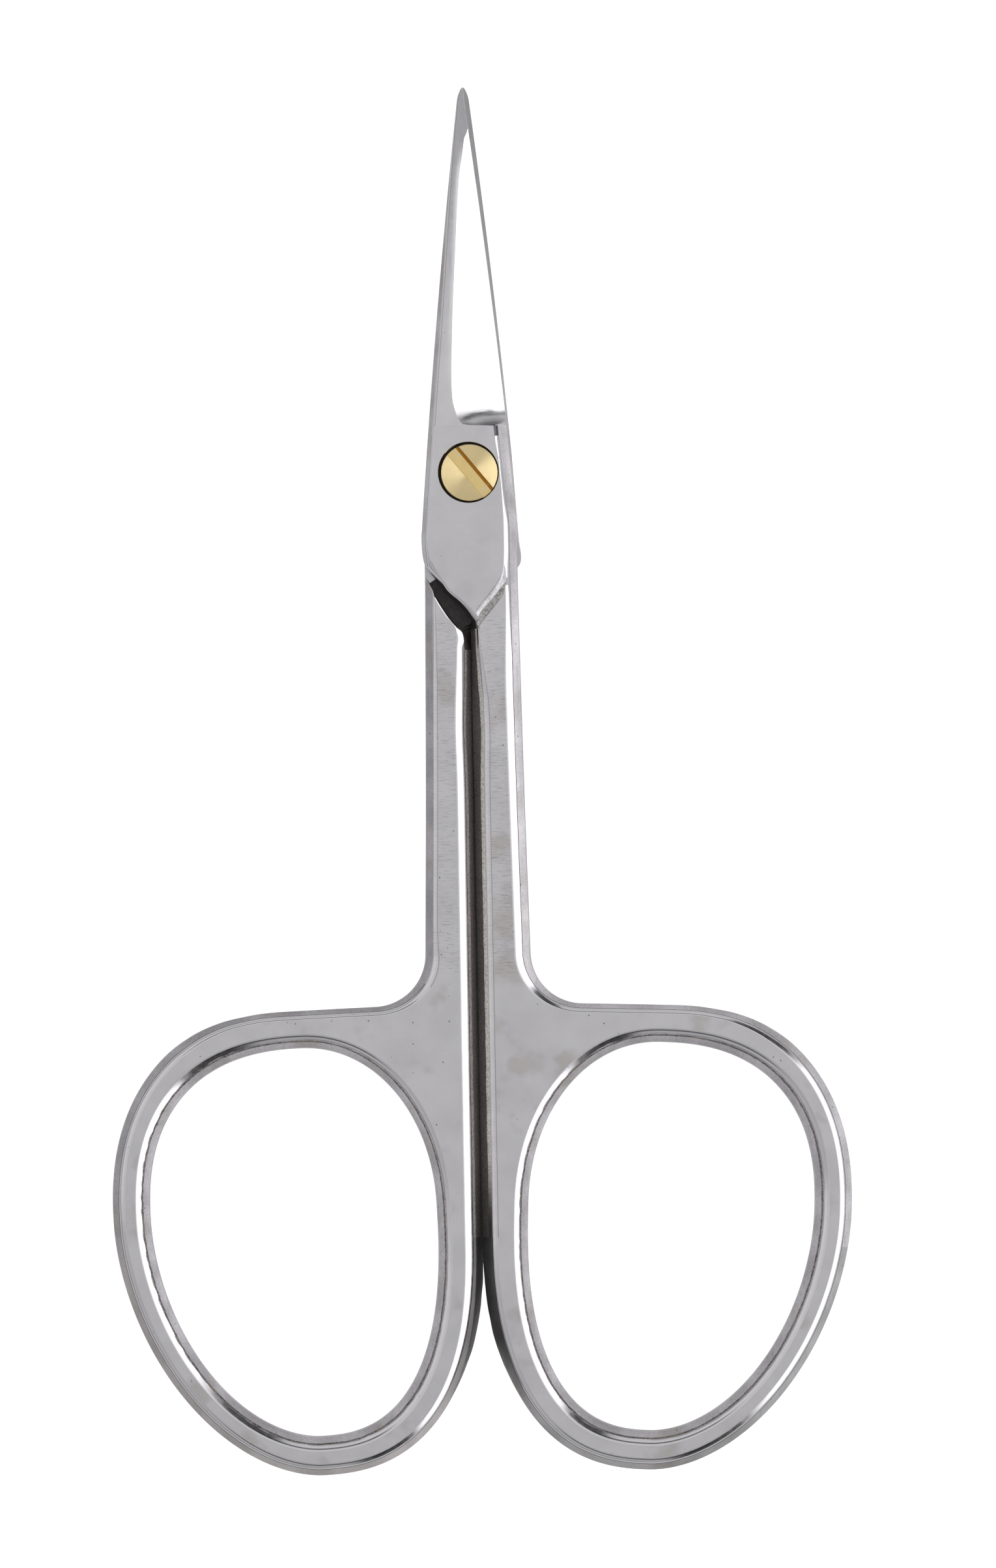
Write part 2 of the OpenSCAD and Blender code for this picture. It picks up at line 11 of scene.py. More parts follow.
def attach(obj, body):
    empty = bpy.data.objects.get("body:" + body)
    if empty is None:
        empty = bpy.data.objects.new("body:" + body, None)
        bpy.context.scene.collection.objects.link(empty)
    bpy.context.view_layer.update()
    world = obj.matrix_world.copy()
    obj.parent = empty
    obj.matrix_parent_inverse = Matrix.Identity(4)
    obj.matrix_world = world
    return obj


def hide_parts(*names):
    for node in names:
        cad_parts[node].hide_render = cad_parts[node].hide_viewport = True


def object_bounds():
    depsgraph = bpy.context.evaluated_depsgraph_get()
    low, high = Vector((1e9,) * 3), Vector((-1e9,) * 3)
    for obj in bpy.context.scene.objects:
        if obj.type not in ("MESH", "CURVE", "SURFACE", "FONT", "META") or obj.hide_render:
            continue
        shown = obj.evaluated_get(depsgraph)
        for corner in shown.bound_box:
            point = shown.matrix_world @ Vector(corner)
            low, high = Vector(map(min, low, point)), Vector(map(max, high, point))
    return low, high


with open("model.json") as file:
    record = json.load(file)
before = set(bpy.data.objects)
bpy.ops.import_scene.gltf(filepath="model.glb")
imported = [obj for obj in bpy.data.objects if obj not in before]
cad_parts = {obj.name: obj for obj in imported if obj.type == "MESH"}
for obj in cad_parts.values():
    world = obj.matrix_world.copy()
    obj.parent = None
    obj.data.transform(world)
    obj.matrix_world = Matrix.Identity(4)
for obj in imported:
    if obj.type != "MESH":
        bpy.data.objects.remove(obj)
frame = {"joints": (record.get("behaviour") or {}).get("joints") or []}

cad_low, cad_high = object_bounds()

# Sizes are in millimetres round the pivot, in the plane between the two arms, until a piece is
# made: X runs across the closed scissors, Y towards the tips and Z towards the screw head.
MM = 0.001
PIVOT_Y = frame["joints"][0]["pos_m"][1] / MM

# Blades
BLADE_REACH = cad_high.y / MM - PIVOT_Y
TIP_R = 0.33
TIP_CURVE = 0.43  # half width of the rounded tip a millimetre below its apex
TIP_BLEND = 12
SPINE_BELLY = 1.24
HEEL_Y = 3.1
HEEL_RUN = 1.15
TIP_T = 0.55
EDGE_LAND = 0.1
LAP_TIP = 0.3
TIP_EDGE = 0.3
LAP_HEEL = 0.1
CURVE_R = 95
CURVE_LEAD = 0.3
POINT_SHARE = 0.97
THIN = 0.02  # least width of a side or bevel at the point
SPINE_SIDE, EDGE_SIDE = 0.72, 0.7  # heights of the blade's sides, as shares
GRIND_SLOPE = 0.6
STRIP_CROWN = 0.05  # how far the spine strip falls away towards the ground face
HOLLOW = 0.06  # depth of the hollow of the ground face
# The ridge between spine strip and ground face, from the point down to the heel
RIDGE_KNOTS = [(0.37, 22.4), (0.24, 22.1), (0.06, 21.7), (-0.1, 20.6), (-0.31, 19.2), (-0.5, 17),
               (-0.7, 13.8), (-0.86, 11.2), (-0.96, 9), (-1.05, 6.5), (-1.02, 4.9), (-0.86, 4.05),
               (-0.62, 3.45), (-0.34, 3.1)]

# Joint
JOINT_HW = 3.2
BULGE_DROP = 4.2
FREE_Y = -(BULGE_DROP + 1.9)
CORNER_IN = 0.3
LOBE_DROP = 9.65
LOBE_BULGE = 0.16
PLATE_T = 1.8
HALF_LEAF = 0.02
LIFT = PLATE_T + HALF_LEAF
# The step down to the shank, from the inner to the outer side: where the joint's flat ends, the
# ridge halfway down, and where the shank's flat starts
STEP_TOP = [(0.2, -9.5), (0.26, -8.97), (0.6, -8.5), (1.1, -7.87), (1.64, -7.17), (2.04, -6.4)]
STEP_MIDDLE = [(0.26, -9.72), (0.47, -9.25), (0.85, -8.77), (1.2, -8.4), (1.67, -7.88), (2.25, -7.3)]
STEP_FOOT = [(0.5, -9.93), (0.6, -9.77), (0.94, -9.34), (1.37, -8.82), (1.8, -8.3), (2.08, -7.85)]
STEP_BREAK = 0.12  # height lost between the joint's flat and the ridge

# Screw
HEAD_D = 3.68
HEAD_T = 0.8
HEAD_SINK = 0.06
HEAD_CLEARANCE = 0.12
BEARING_D = 2.6
BEARING_CLEARANCE = 0.03
END_PLAY = 0.03
THREAD_D = 2
THREAD_PITCH = 0.4
THREAD_CLEARANCE = 0.02
BORE_CHAMFER = 0.12
END_SINK = 0.1
SLOT_W = 0.67
SLOT_SLOPE = 0.22
SLOT_LEAN = 0.035  # how far the slot's steep wall leans back
SLOT_DEPTH = 0.42
SLOT_ANGLE = 51
SEAT_CHAMFER = 0.03
SEAT_SHIFT = (-0.06, 0.02)  # the seat is bored a little off the screw's axis
HEAD_CHAMFER = 0.05

# Shanks
HANDLE_H = 1.4
INNER_X = 0.08
SHANK_TOP_X = 3.02
SHANK_LOW_X = 3.42
FILLET_R = 3.4
SHOULDER_TOP_Y = -6.75
STRAIGHT_TOP_Y = -5.3
STEP_RUN = 0.6
# Top edge of the shoulder that faces the other arm, from the outer to the inner side
SHOULDER = [(2.72, -7.1), (2.47, -7.7), (2.13, -8.29), (1.8, -8.84), (1.46, -9.34),
            (1.12, -9.76), (0.8, -10.14), (0.6, -10.55)]
SHOULDER_END_Y = -11.15
MITRE_Y = -9.6  # below this the shank's outer side is clear of the shoulder
SHOULDER_BEVEL_W = 0.13
SHOULDER_BEVEL_H = 0.14

# Bows
HANDLE_REACH = 65
EYE_X = 11.3
EYE = (10.26, 8.32, 10.62, 14.61)
RING = (EYE[0] + 2.438, EYE[1] + 2.8, EYE[2] + 2.85, EYE[3] + 2.575)
EYE_Y = -(HANDLE_REACH - 2.6 - EYE[3])
WEB_Y = EYE_Y + EYE[2] + 2.6
EYE_TILT = -2.6
EYE_SQUARENESS = (2.4, 2.06, 2.5, 1.86)
RING_SQUARENESS = (2.3, 1.9, 2.43, 1.84)
RING_FROM, RING_TO = 192, 410
WEB_KNOTS = [(7.45, 1.71), (5.6, 0.89), (3.8, 0.47), (2.2, 0.26), (-0.8, 0.13)]

# Edges: plan widths of the sloping sides and of the bevels above them
SIDE_W = 0.5
SIDE_SPINE_W = 0.26
SIDE_BOW_W = 0.43
SIDE_WEB_W = 0.28
SIDE_JOINT_W = 0.62
SIDE_STEP_W = 0.5
SIDE_FREE_W = 0.1
SIDE_INNER_W = 0.5
EYE_SIDE_W = 0.5
BEVEL_W = 0.58
BEVEL_FOOT_W = 0.34  # the outer bevel at the foot of the step
BEVEL_SPINE_W = 0.15
BEVEL_JOINT_W = 0.18
BEVEL_HEEL_MORE = 0.09
BEVEL_HEEL_W = BEVEL_JOINT_W + BEVEL_HEEL_MORE
BEVEL_STEP_W = 0.4
BEVEL_FREE_W = 0.22
BEVEL_LOBE_W = 1.5 * BEVEL_FREE_W
BEVEL_BOW_W = 0.42
BEVEL_WEB_W = 0.3
BEVEL_INNER_W = 0.62
LIP_H = 0.2
BEVEL_LIP_W = 0.4  # the inner bevel on an arm's front
EYE_BEVEL_W = 0.46
LIP_ROUGH = 0.03  # how rough the lip of the finger hole is
BACK_BEVEL_SHARE = 0.52  # width of the outer bevel on an arm's back, where the front's is 1
BEVEL_H = 0.28
BEVEL_INNER_H = 0.36
# The inner sides of the shanks: a steep wall in the groove, then a rough rim below the bevel
GROOVE_W = 0.27
GROOVE_H = 0.84
SWELL_Y, SWELL_RUN = -16.8, 2.2  # where they swell out a little
# Their width at the top as a share, and the width and height of bevel and width of groove
INNER_FRONT = (0.42, BEVEL_LIP_W, LIP_H, GROOVE_W)
INNER_BACK = (0.85, BEVEL_INNER_W, BEVEL_INNER_H, 1.25 * GROOVE_W)
# The parting ridges of the two shanks close the gap between them without touching
FLASH = 0.18
FLASH_Z = 0.27
# Chamfer of the joint's bulge where it looks out from behind the other arm
BULGE_CHAMFER = 0.07
FACE_INSET = 2.2  # inset of the inner face there, for each height of the chamfer
BULGE_OUT = 0.2  # the rear arm's bulge stands out a little more here
BULGE_OUT_Y = -5.6
GAP_TOP_Y = -6.7  # the shadow between the lobe and the shoulder starts here
SHADE_FAR = [(2.2, -6.75, 0), (1.2, -6.6, 0), (0.15, -9.0, 0)]
NOTCH_Y = 2.42  # the bevel beside the heel ends in a notch above this, painted near-black as painted shade

# Shares of a bevel's width, from its crease with the side to the flat, and of a side's height
BEVEL_STEPS = (1.0, 0.93, 0.72, 0.5, 0.3, 0.13, 0.0)
LOW_W_SHARE, LOW_H_SHARE = 0.12, 0.58

# Columns and rows of the mesh
STRIP_COLUMNS, GROUND_COLUMNS = 6, 9
BULGE_COLUMNS = 32
STEP_ROWS, STEP_COLUMNS = 9, 30
SHOULDER_COLUMNS = 34
RING_STEPS = 140
EYE_COLUMNS = 360


def lerp(a, b, t):
    return a + (b - a) * t


def clamp01(t):
    return min(1.0, max(0.0, t))


def smooth01(t):
    c = clamp01(t)
    return c * c * (3 - 2 * c)


def wobble(x, y, z, scale, seed):
    """Smooth noise from -1 to 1 at a place, with features about scale millimetres long."""
    return noise.noise(Vector((x / scale + seed, y / scale, z / scale + 0.5 * seed)))


def through(knots, steps):
    """A smooth curve through knots, without its last point."""
    k = [np.array(p, float) for p in knots]
    k = [2 * k[0] - k[1], *k, 2 * k[-1] - k[-2]]
    curve = []
    for a, b, c, d in zip(k, k[1:], k[2:], k[3:]):
        for i in range(steps):
            t = i / steps
            curve.append(0.5 * (2 * b + (c - a) * t + (2 * a - 5 * b + 4 * c - d) * t * t
                                + (3 * b - a - 3 * c + d) * t ** 3))
    return curve


def through_all(knots, count):
    """count points, evenly spaced on a smooth curve through knots."""
    p = np.array([*through(knots, 6), knots[-1]], float)
    run = np.concatenate([[0], np.cumsum(np.linalg.norm(np.diff(p, axis=0), axis=1))])
    at = np.linspace(0, run[-1], count)
    return np.stack([np.interp(at, run, p[:, k]) for k in range(p.shape[1])], axis=1)


def half_width(y):
    d = max(1e-4, BLADE_REACH - y)
    s = max(0, d - TIP_R) / (BLADE_REACH + BULGE_DROP - TIP_R)
    spine = TIP_R + (JOINT_HW - TIP_R) * (SPINE_BELLY * s - (SPINE_BELLY - 1) * s * s)
    point = TIP_CURVE * math.sqrt(d) * (1 + d ** 4)
    return (spine ** -TIP_BLEND + point ** -TIP_BLEND) ** (-1 / TIP_BLEND)


def along(y):
    return clamp01((y - HEEL_Y) / (BLADE_REACH - HEEL_Y))


def blade_t(y):
    return lerp(PLATE_T, TIP_T, along(y))


def edge_x(y):
    w = half_width(y)
    return max(TIP_EDGE * w, w - lerp(LAP_HEEL, LAP_TIP, along(y)))


def edge_h(y):
    return max(EDGE_LAND, POINT_SHARE * blade_t(y) - GRIND_SLOPE * (edge_x(y) - ridge_x(y)))


RIDGE_LINE = np.array([*through(RIDGE_KNOTS, 8), RIDGE_KNOTS[-1]], float)[::-1]


def ridge_x(y):
    return min(edge_x(y) - 0.02, float(np.interp(y, RIDGE_LINE[:, 1], RIDGE_LINE[:, 0])))


CURVE_START = math.hypot(HEEL_Y, half_width(HEEL_Y)) + CURVE_LEAD


def rise(x, y):
    return max(0.0, math.hypot(x, y) - CURVE_START) ** 2 / (2 * CURVE_R)


def oval(angle, squareness, reach):
    """A point of one of the bow's ovals: four quarters, each with its own squareness."""
    a = math.radians(angle)
    c, s = math.cos(a), math.sin(a)
    n = squareness[int(angle % 360 // 90)]
    across = reach[0] if c > 0 else reach[1]
    up = reach[2] if s > 0 else reach[3]
    r = ((abs(c) / across) ** n + (abs(s) / up) ** n) ** (-1 / n)
    t = math.radians(EYE_TILT)
    return (EYE_X + r * (c * math.cos(t) - s * math.sin(t)),
            EYE_Y + r * (c * math.sin(t) + s * math.cos(t)))


class Shell:
    """Points and faces of one piece. Each face has a zone, which becomes a material."""

    def __init__(self):
        self.points = []
        self.faces = []
        self.zones = []

    def add(self, x, y, z):
        self.points.append((float(x), float(y), float(z)))
        return len(self.points) - 1

    def row(self, points):
        return [self.add(*p) for p in points]

    def face(self, corners, zone):
        kept = [c for k, c in enumerate(corners) if c != corners[k - 1]]
        if len(kept) > 2:
            self.faces.append(kept)
            self.zones.append(zone)

    def strip(self, low, high, zone, closed=False):
        count = len(low) if closed else len(low) - 1
        for i in range(count):
            j = (i + 1) % len(low)
            kind = zone[i] if isinstance(zone, list) else zone
            self.face([low[i], low[j], high[j], high[i]], kind)

    def fill(self, outer, holes, zone):
        """Fills a nearly flat loop, but not the loops in holes, with triangles."""
        loops = [outer, *holes]
        ids = [i for loop in loops for i in loop]
        flat = [Vector(self.points[i][:2]) for i in ids]
        edges, start = [], 0
        for loop in loops:
            n = len(loop)
            edges += [(start + i, start + (i + 1) % n) for i in range(n)]
            start += n
        made = delaunay_2d_cdt(flat, edges, [], 0, 1e-7)
        place = [ids[o[0]] for o in made[3]]
        exact = dict(zip(ids, np.array([tuple(v) for v in flat], float)))
        rings = [np.array([exact[i] for i in loop]) for loop in loops]
        for t in made[2]:
            corners = [place[k] for k in t]
            x, y = sum(exact[i] for i in corners) / len(corners)
            if sum(inside(ring, x, y) for ring in rings) == 1:
                self.face(corners, zone)


def inside(ring, x, y):
    """Whether a point is inside a closed ring of points."""
    x0, y0 = ring[:, 0], ring[:, 1]
    x1, y1 = np.roll(x0, -1), np.roll(y0, -1)
    crosses = (y0 > y) != (y1 > y)
    with np.errstate(divide="ignore", invalid="ignore"):
        at = x0 + (y - y0) * (x1 - x0) / (y1 - y0)
    return int(np.count_nonzero(crosses & (x < at)) % 2)


# A rim entry is (x, y, side width, bevel width, side height, face height, and the width and height
# of the side's lowest part)
def rim_entry(p, side, bevel, top=PLATE_T, low=None):
    low = top - BEVEL_H if low is None else low
    return (p[0], p[1], side, bevel, low, top, side * LOW_W_SHARE, low * LOW_H_SHARE)


def inner_entry(p, share=1.0, back=False):
    """A column of a shank's inner side, which becomes a bow's side as share falls to 0."""
    narrow, bevel_w, bevel_h, groove_w = INNER_BACK if back else INNER_FRONT
    swell = share * math.exp(-((p[1] - SWELL_Y) / SWELL_RUN) ** 2)
    wide = lerp(narrow, 1, smooth01((-LOBE_DROP - 0.3 - p[1]) / 5.5))
    side = lerp(SIDE_BOW_W, SIDE_INNER_W * wide, share) + 0.07 * swell
    low = HANDLE_H - lerp(BEVEL_H, bevel_h, share)
    return (p[0], p[1], side, lerp(BEVEL_BOW_W, bevel_w * wide, share), low, HANDLE_H,
            lerp(side * LOW_W_SHARE, groove_w * wide + 0.1 * swell, share),
            lerp(low * LOW_H_SHARE, GROOVE_H, share))


BLADE_ROWS = 64
SECTIONS = [BLADE_REACH - q * TIP_R for q in (0.015, 0.05, 0.12, 0.25, 0.45, 0.7, 1.0)]
SECTIONS += [lerp(BLADE_REACH - TIP_R, HEEL_Y + HEEL_RUN, (k / BLADE_ROWS) ** 1.1)
             for k in range(1, BLADE_ROWS + 1)]
SECTIONS += [HEEL_Y + HEEL_RUN * q for q in (0.85, 0.7, 0.56, 0.43, 0.31, 0.2, 0.1, 0)]


def spine_entry(y):
    share = 1 - along(y)
    t = blade_t(y)
    side = max(THIN, SIDE_SPINE_W * smooth01(1.25 * share))
    return rim_entry((-half_width(y), y), side, lerp(0.04, BEVEL_SPINE_W, share), t, SPINE_SIDE * t)


def edge_entry(y):
    """The cutting edge, which rises to the joint's sloping side over the last stretch."""
    heel = clamp01(1 - (y - HEEL_Y) / HEEL_RUN)
    grown, wide = heel ** 3, heel ** 8
    low = edge_h(y)
    side_h = lerp(EDGE_SIDE * low, PLATE_T - BEVEL_H, grown)
    return (edge_x(y), y, lerp(THIN, SIDE_JOINT_W, wide), lerp(THIN, BEVEL_HEEL_W, wide), side_h,
            lerp(low, PLATE_T, grown), lerp(0.005, SIDE_JOINT_W * LOW_W_SHARE, wide),
            side_h * LOW_H_SHARE)


def left_entries():
    """The joint's left side, from the heel round the bulge and down the free edge."""
    corner = np.array([-(JOINT_HW - CORNER_IN), FREE_Y])
    lobe = np.array([INNER_X, -LOBE_DROP])
    top = -BULGE_DROP + 0.6
    straight = [(-half_width(y), y) for y in np.linspace(HEEL_Y, top, 12)[:-1]]
    knots = [(-half_width(top), top), (-JOINT_HW, -BULGE_DROP),
             (lerp(-JOINT_HW, corner[0], 0.22), lerp(-BULGE_DROP, corner[1], 0.6)), corner]
    knots += [lerp(corner, lobe, q) - np.array([0, b * LOBE_BULGE])
              for q, b in ((0.3, 0.5), (0.45, 1), (0.75, -0.5))]
    entries = []
    for p in straight[1:] + through(knots + [lobe], 8):
        past = smooth01((corner[1] + 0.7 - p[1]) / 0.9)
        run = clamp01((corner[1] - p[1]) / (corner[1] - lobe[1]))
        free = BEVEL_FREE_W * (1 + 0.9 * smooth01(1 - run / 0.3) + 0.5 * smooth01(run / 0.5 - 1))
        entries.append(rim_entry(p, lerp(SIDE_SPINE_W, SIDE_FREE_W, past),
                                 lerp(BEVEL_JOINT_W, free, past)))
    return entries + [rim_entry(lobe, SIDE_FREE_W, BEVEL_LOBE_W)]


def step_entries(x, high, low, first, last):
    """Columns of a side where the joint steps down to the shank."""
    shares = [k / STEP_ROWS for k in range(1, STEP_ROWS)]
    return [(x, lerp(high, low, t), *(lerp(a, b, t) for a, b in zip(first[2:], last[2:])))
            for t in shares]


def inner_side_entries():
    first = oval(RING_FROM, RING_SQUARENESS, RING)
    ys = list(np.linspace(-LOBE_DROP - STEP_RUN, -LOBE_DROP - 1.5, 10))
    ys += list(np.linspace(ys[-1], first[1], 120))[1:-1]
    out = max(0, first[0] - INNER_X)
    return [inner_entry((INNER_X + out * clamp01((-y - 11) / 26), y)) for y in ys]


def ring_share(k):
    """How far a column of the bow still has the shape of the shank's inner side."""
    return 1 - smooth01(k / (RING_STEPS * 0.25))


def ring_entries():
    points = [oval(lerp(RING_FROM, RING_TO, k / RING_STEPS), RING_SQUARENESS, RING)
              for k in range(RING_STEPS + 1)]
    return [inner_entry((max(INNER_X, x), y), ring_share(k)) for k, (x, y) in enumerate(points)]


def fading(points, run, first, last):
    """Entries of the handle whose widths of side and bevel go from first to last over run points."""
    return [rim_entry(p, *(lerp(a, b, smooth01(k / run)) for a, b in zip(first, last)), HANDLE_H)
            for k, p in enumerate(points)]


def outer_entries():
    """The outer side, from the bow over the web and its fillet up the shank."""
    centre = (SHANK_LOW_X + FILLET_R, WEB_Y + FILLET_R)
    before, last = (oval(a, RING_SQUARENESS, RING) for a in (RING_TO - 12, RING_TO))
    web = [before, last, *[(EYE_X + x, WEB_Y - d) for x, d in WEB_KNOTS], (centre[0], WEB_Y)]
    web = through(web, 9)[10:]
    fillet = [(centre[0] + FILLET_R * math.cos(a), centre[1] + FILLET_R * math.sin(a))
              for a in np.radians(np.linspace(270, 180, 28))[:-1]]
    waist = (lerp(SHANK_LOW_X, SHANK_TOP_X, 0.55), lerp(centre[1], SHOULDER_TOP_Y, 0.45))
    low_y = SHOULDER_TOP_Y - STEP_RUN
    side = through([(SHANK_LOW_X, centre[1]), waist, (SHANK_TOP_X, low_y)], 24)
    at_bow, at_web, at_shank = (SIDE_BOW_W, BEVEL_BOW_W), (SIDE_WEB_W, BEVEL_WEB_W), (SIDE_W, BEVEL_W)
    entries = fading(web, len(web) / 2, at_bow, at_web) + fading(fillet, len(fillet), at_web, at_shank)
    for p in [*side, (SHANK_TOP_X, low_y)]:
        wide = smooth01((low_y - p[1]) / 7)
        entries.append(rim_entry(p, SIDE_W, lerp(BEVEL_FOOT_W, BEVEL_W, wide), HANDLE_H))
    return entries


def right_entries():
    """The joint's right side, from above the step to the heel, with a rounded heel corner."""
    entries = []
    for y in np.linspace(STRAIGHT_TOP_Y, HEEL_Y - 0.35, 26):
        x = SHANK_TOP_X if y < -4.6 else min(SHANK_TOP_X, edge_x(y))
        x = lerp(SHANK_TOP_X, x, smooth01((y - STRAIGHT_TOP_Y) / 1.5))
        low = smooth01((-y - 0.6) / 3.2)
        bevel = lerp(BEVEL_JOINT_W, BEVEL_STEP_W, low) + BEVEL_HEEL_MORE * smooth01((y - 0.9) / 1.2)
        entries.append(rim_entry((x, y), lerp(SIDE_JOINT_W, SIDE_STEP_W, low), bevel))
    return entries + [rim_entry((edge_x(y), y), SIDE_JOINT_W, BEVEL_HEEL_W)
                      for y in (HEEL_Y - 0.22, HEEL_Y - 0.11, HEEL_Y - 0.04)]


class Rim:
    """The outline of an arm, tip first and anticlockwise seen from above."""

    def __init__(self):
        apex = (0, BLADE_REACH, THIN, 0.03, SPINE_SIDE * TIP_T, TIP_T, 0.003, 0.2)
        plate = (0, 0)
        inner = step_entries(INNER_X, -LOBE_DROP, -LOBE_DROP - STEP_RUN,
                             rim_entry(plate, SIDE_FREE_W, BEVEL_LOBE_W), inner_entry(plate))
        outer = step_entries(SHANK_TOP_X, STRAIGHT_TOP_Y, SHOULDER_TOP_Y - STEP_RUN,
                             rim_entry(plate, SIDE_STEP_W, BEVEL_STEP_W),
                             rim_entry(plate, SIDE_W, BEVEL_FOOT_W, HANDLE_H))
        groups = {"apex": [apex], "spine": [spine_entry(y) for y in SECTIONS],
                  "left": left_entries(), "inner_step": inner, "inner": inner_side_entries(),
                  "ring": ring_entries(), "outer": outer_entries(), "outer_step": outer[::-1],
                  "right": right_entries(), "edge": [edge_entry(y) for y in reversed(SECTIONS)]}
        entries, self.at = [], {}
        for name, group in groups.items():
            self.at[name] = (len(entries), len(entries) + len(group) - 1)
            entries += group
        self.e = np.array(entries, float)
        flat = self.e[:, :2]
        t = np.roll(flat, -1, axis=0) - np.roll(flat, 1, axis=0)
        t /= np.linalg.norm(t, axis=1)[:, None]
        self.inward = np.stack([-t[:, 1], t[:, 0]], axis=1)

    def span(self, first, last=None):
        return list(range(self.at[first][0], self.at[last or first][1] + 1))


RIM = Rim()
FLASH_END = RIM.at["inner"][1] + 30  # the parting ridges fade out at this column


def level_points(i, bend, seed, entry=None):
    """Points of one rim column, from the middle plane to the flat."""
    x, y, side, bevel, side_h, face_h, low_w, low_h = RIM.e[i] if entry is None else entry
    n = RIM.inward[i]
    on_blade = i <= RIM.at["spine"][1] or i >= RIM.at["edge"][0]
    base = bend * rise(x, y) if on_blade else 0
    proud = lift = 0.0
    if RIM.at["left"][1] <= i <= FLASH_END:
        fade = smooth01((FLASH_END - i) / 12)
        proud = FLASH * fade * (0.85 + 0.15 * wobble(0, y, 0, 0.8, seed))
        lift = FLASH_Z * fade * smooth01((-LOBE_DROP - y) / 0.4)
        rough = 0.022 * wobble(3, y, 1, 0.5, seed) + 0.012 * wobble(3, y, 1, 0.14, seed)
        side, low_w = side + 0.4 * rough, low_w + rough
    bulge = i - RIM.at["left"][0]
    if 2 < bulge < BULGE_COLUMNS:
        lift = BULGE_CHAMFER * math.sin(math.pi * (bulge - 2) / (BULGE_COLUMNS - 2))
        low_h = max(low_h, lift + 0.05)
    if bend < 0 and 2 < bulge < BULGE_COLUMNS + 12:
        proud = BULGE_OUT * math.exp(-((y - BULGE_OUT_Y) / 0.9) ** 2)
    insets = [(-proud, lift), (low_w, max(low_h, lift + 0.02))]
    insets += [(side + bevel * (1 - u), face_h - (face_h - side_h) * u * u) for u in BEVEL_STEPS]
    return [(x + n[0] * inset, y + n[1] * inset, base + z) for inset, z in insets]


TOP = 1 + len(BEVEL_STEPS)


def back_entry(i):
    """A rim column on an arm's back, where the outer bevel is narrower and the inner side wider."""
    if i <= RIM.at["ring"][1]:
        return inner_entry(RIM.e[i][:2], ring_share(i - RIM.at["ring"][0]), True)
    entry = RIM.e[i].copy()
    share = lerp(1, BACK_BEVEL_SHARE, smooth01((entry[1] + 34) / 5))
    entry[3] *= share
    entry[4] = HANDLE_H - BEVEL_H * share
    return entry


def spread_step(levels, columns, line):
    """Moves the upper levels of columns so that their flat points lie on a given line."""
    for i, p in zip(columns, line):
        crease, flat = levels[2][i], levels[TOP][i]
        span = math.dist(flat[:2], crease[:2])
        for k in range(3, TOP + 1):
            old = levels[k][i]
            share = math.dist(old[:2], crease[:2]) / span
            levels[k][i] = (lerp(crease[0], p[0], share), lerp(crease[1], p[1], share), old[2])


def step_z(t):
    """Height at a share of the way down the step: a soft slope, then a steeper hollow one."""
    if t < 0.5:
        return PLATE_T - STEP_BREAK * (2 * t) ** 1.6
    return lerp(PLATE_T - STEP_BREAK, HANDLE_H, 1 - (2 - 2 * t) ** 1.7)


def eye_rows(seed):
    """Rows of the finger hole's wall, from the top flat through the middle plane to the back."""
    half = [(EYE_SIDE_W + EYE_BEVEL_W * (1 - u), HANDLE_H - BEVEL_H * u * u,
             LIP_ROUGH if u == 1 else 0.4 * LIP_ROUGH if u > 0.9 else 0.0)
            for u in reversed(BEVEL_STEPS)]
    half.append((EYE_SIDE_W - 0.07, HANDLE_H - BEVEL_H - 0.16, LIP_ROUGH))
    half.append((EYE_SIDE_W * 0.13, 0.52, 0.0))
    made = []
    for grow, z, rough in half + [(0.0, 0.0, 0.0)] + [(g, -z, r) for g, z, r in reversed(half)]:
        ring = []
        for k in range(EYE_COLUMNS):
            x, y = oval(360 * k / EYE_COLUMNS, EYE_SQUARENESS, [r + grow for r in EYE])
            z_here = z
            if rough:
                d = Vector((x - EYE_X, y - EYE_Y)).normalized()
                push = rough * wobble(x, y, z, 0.45, seed) + 0.6 * rough * wobble(x, y, z, 0.17, seed)
                x, y = x + d.x * push, y + d.y * push
                z_here = z + 0.8 * rough * wobble(x, y, z + 5, 0.3, seed)
            ring.append((x, y, z_here))
        made.append(ring)
    return made


def circle(radius, z, count=96):
    return [(radius * math.cos(2 * math.pi * k / count), radius * math.sin(2 * math.pi * k / count), z)
            for k in range(count)]


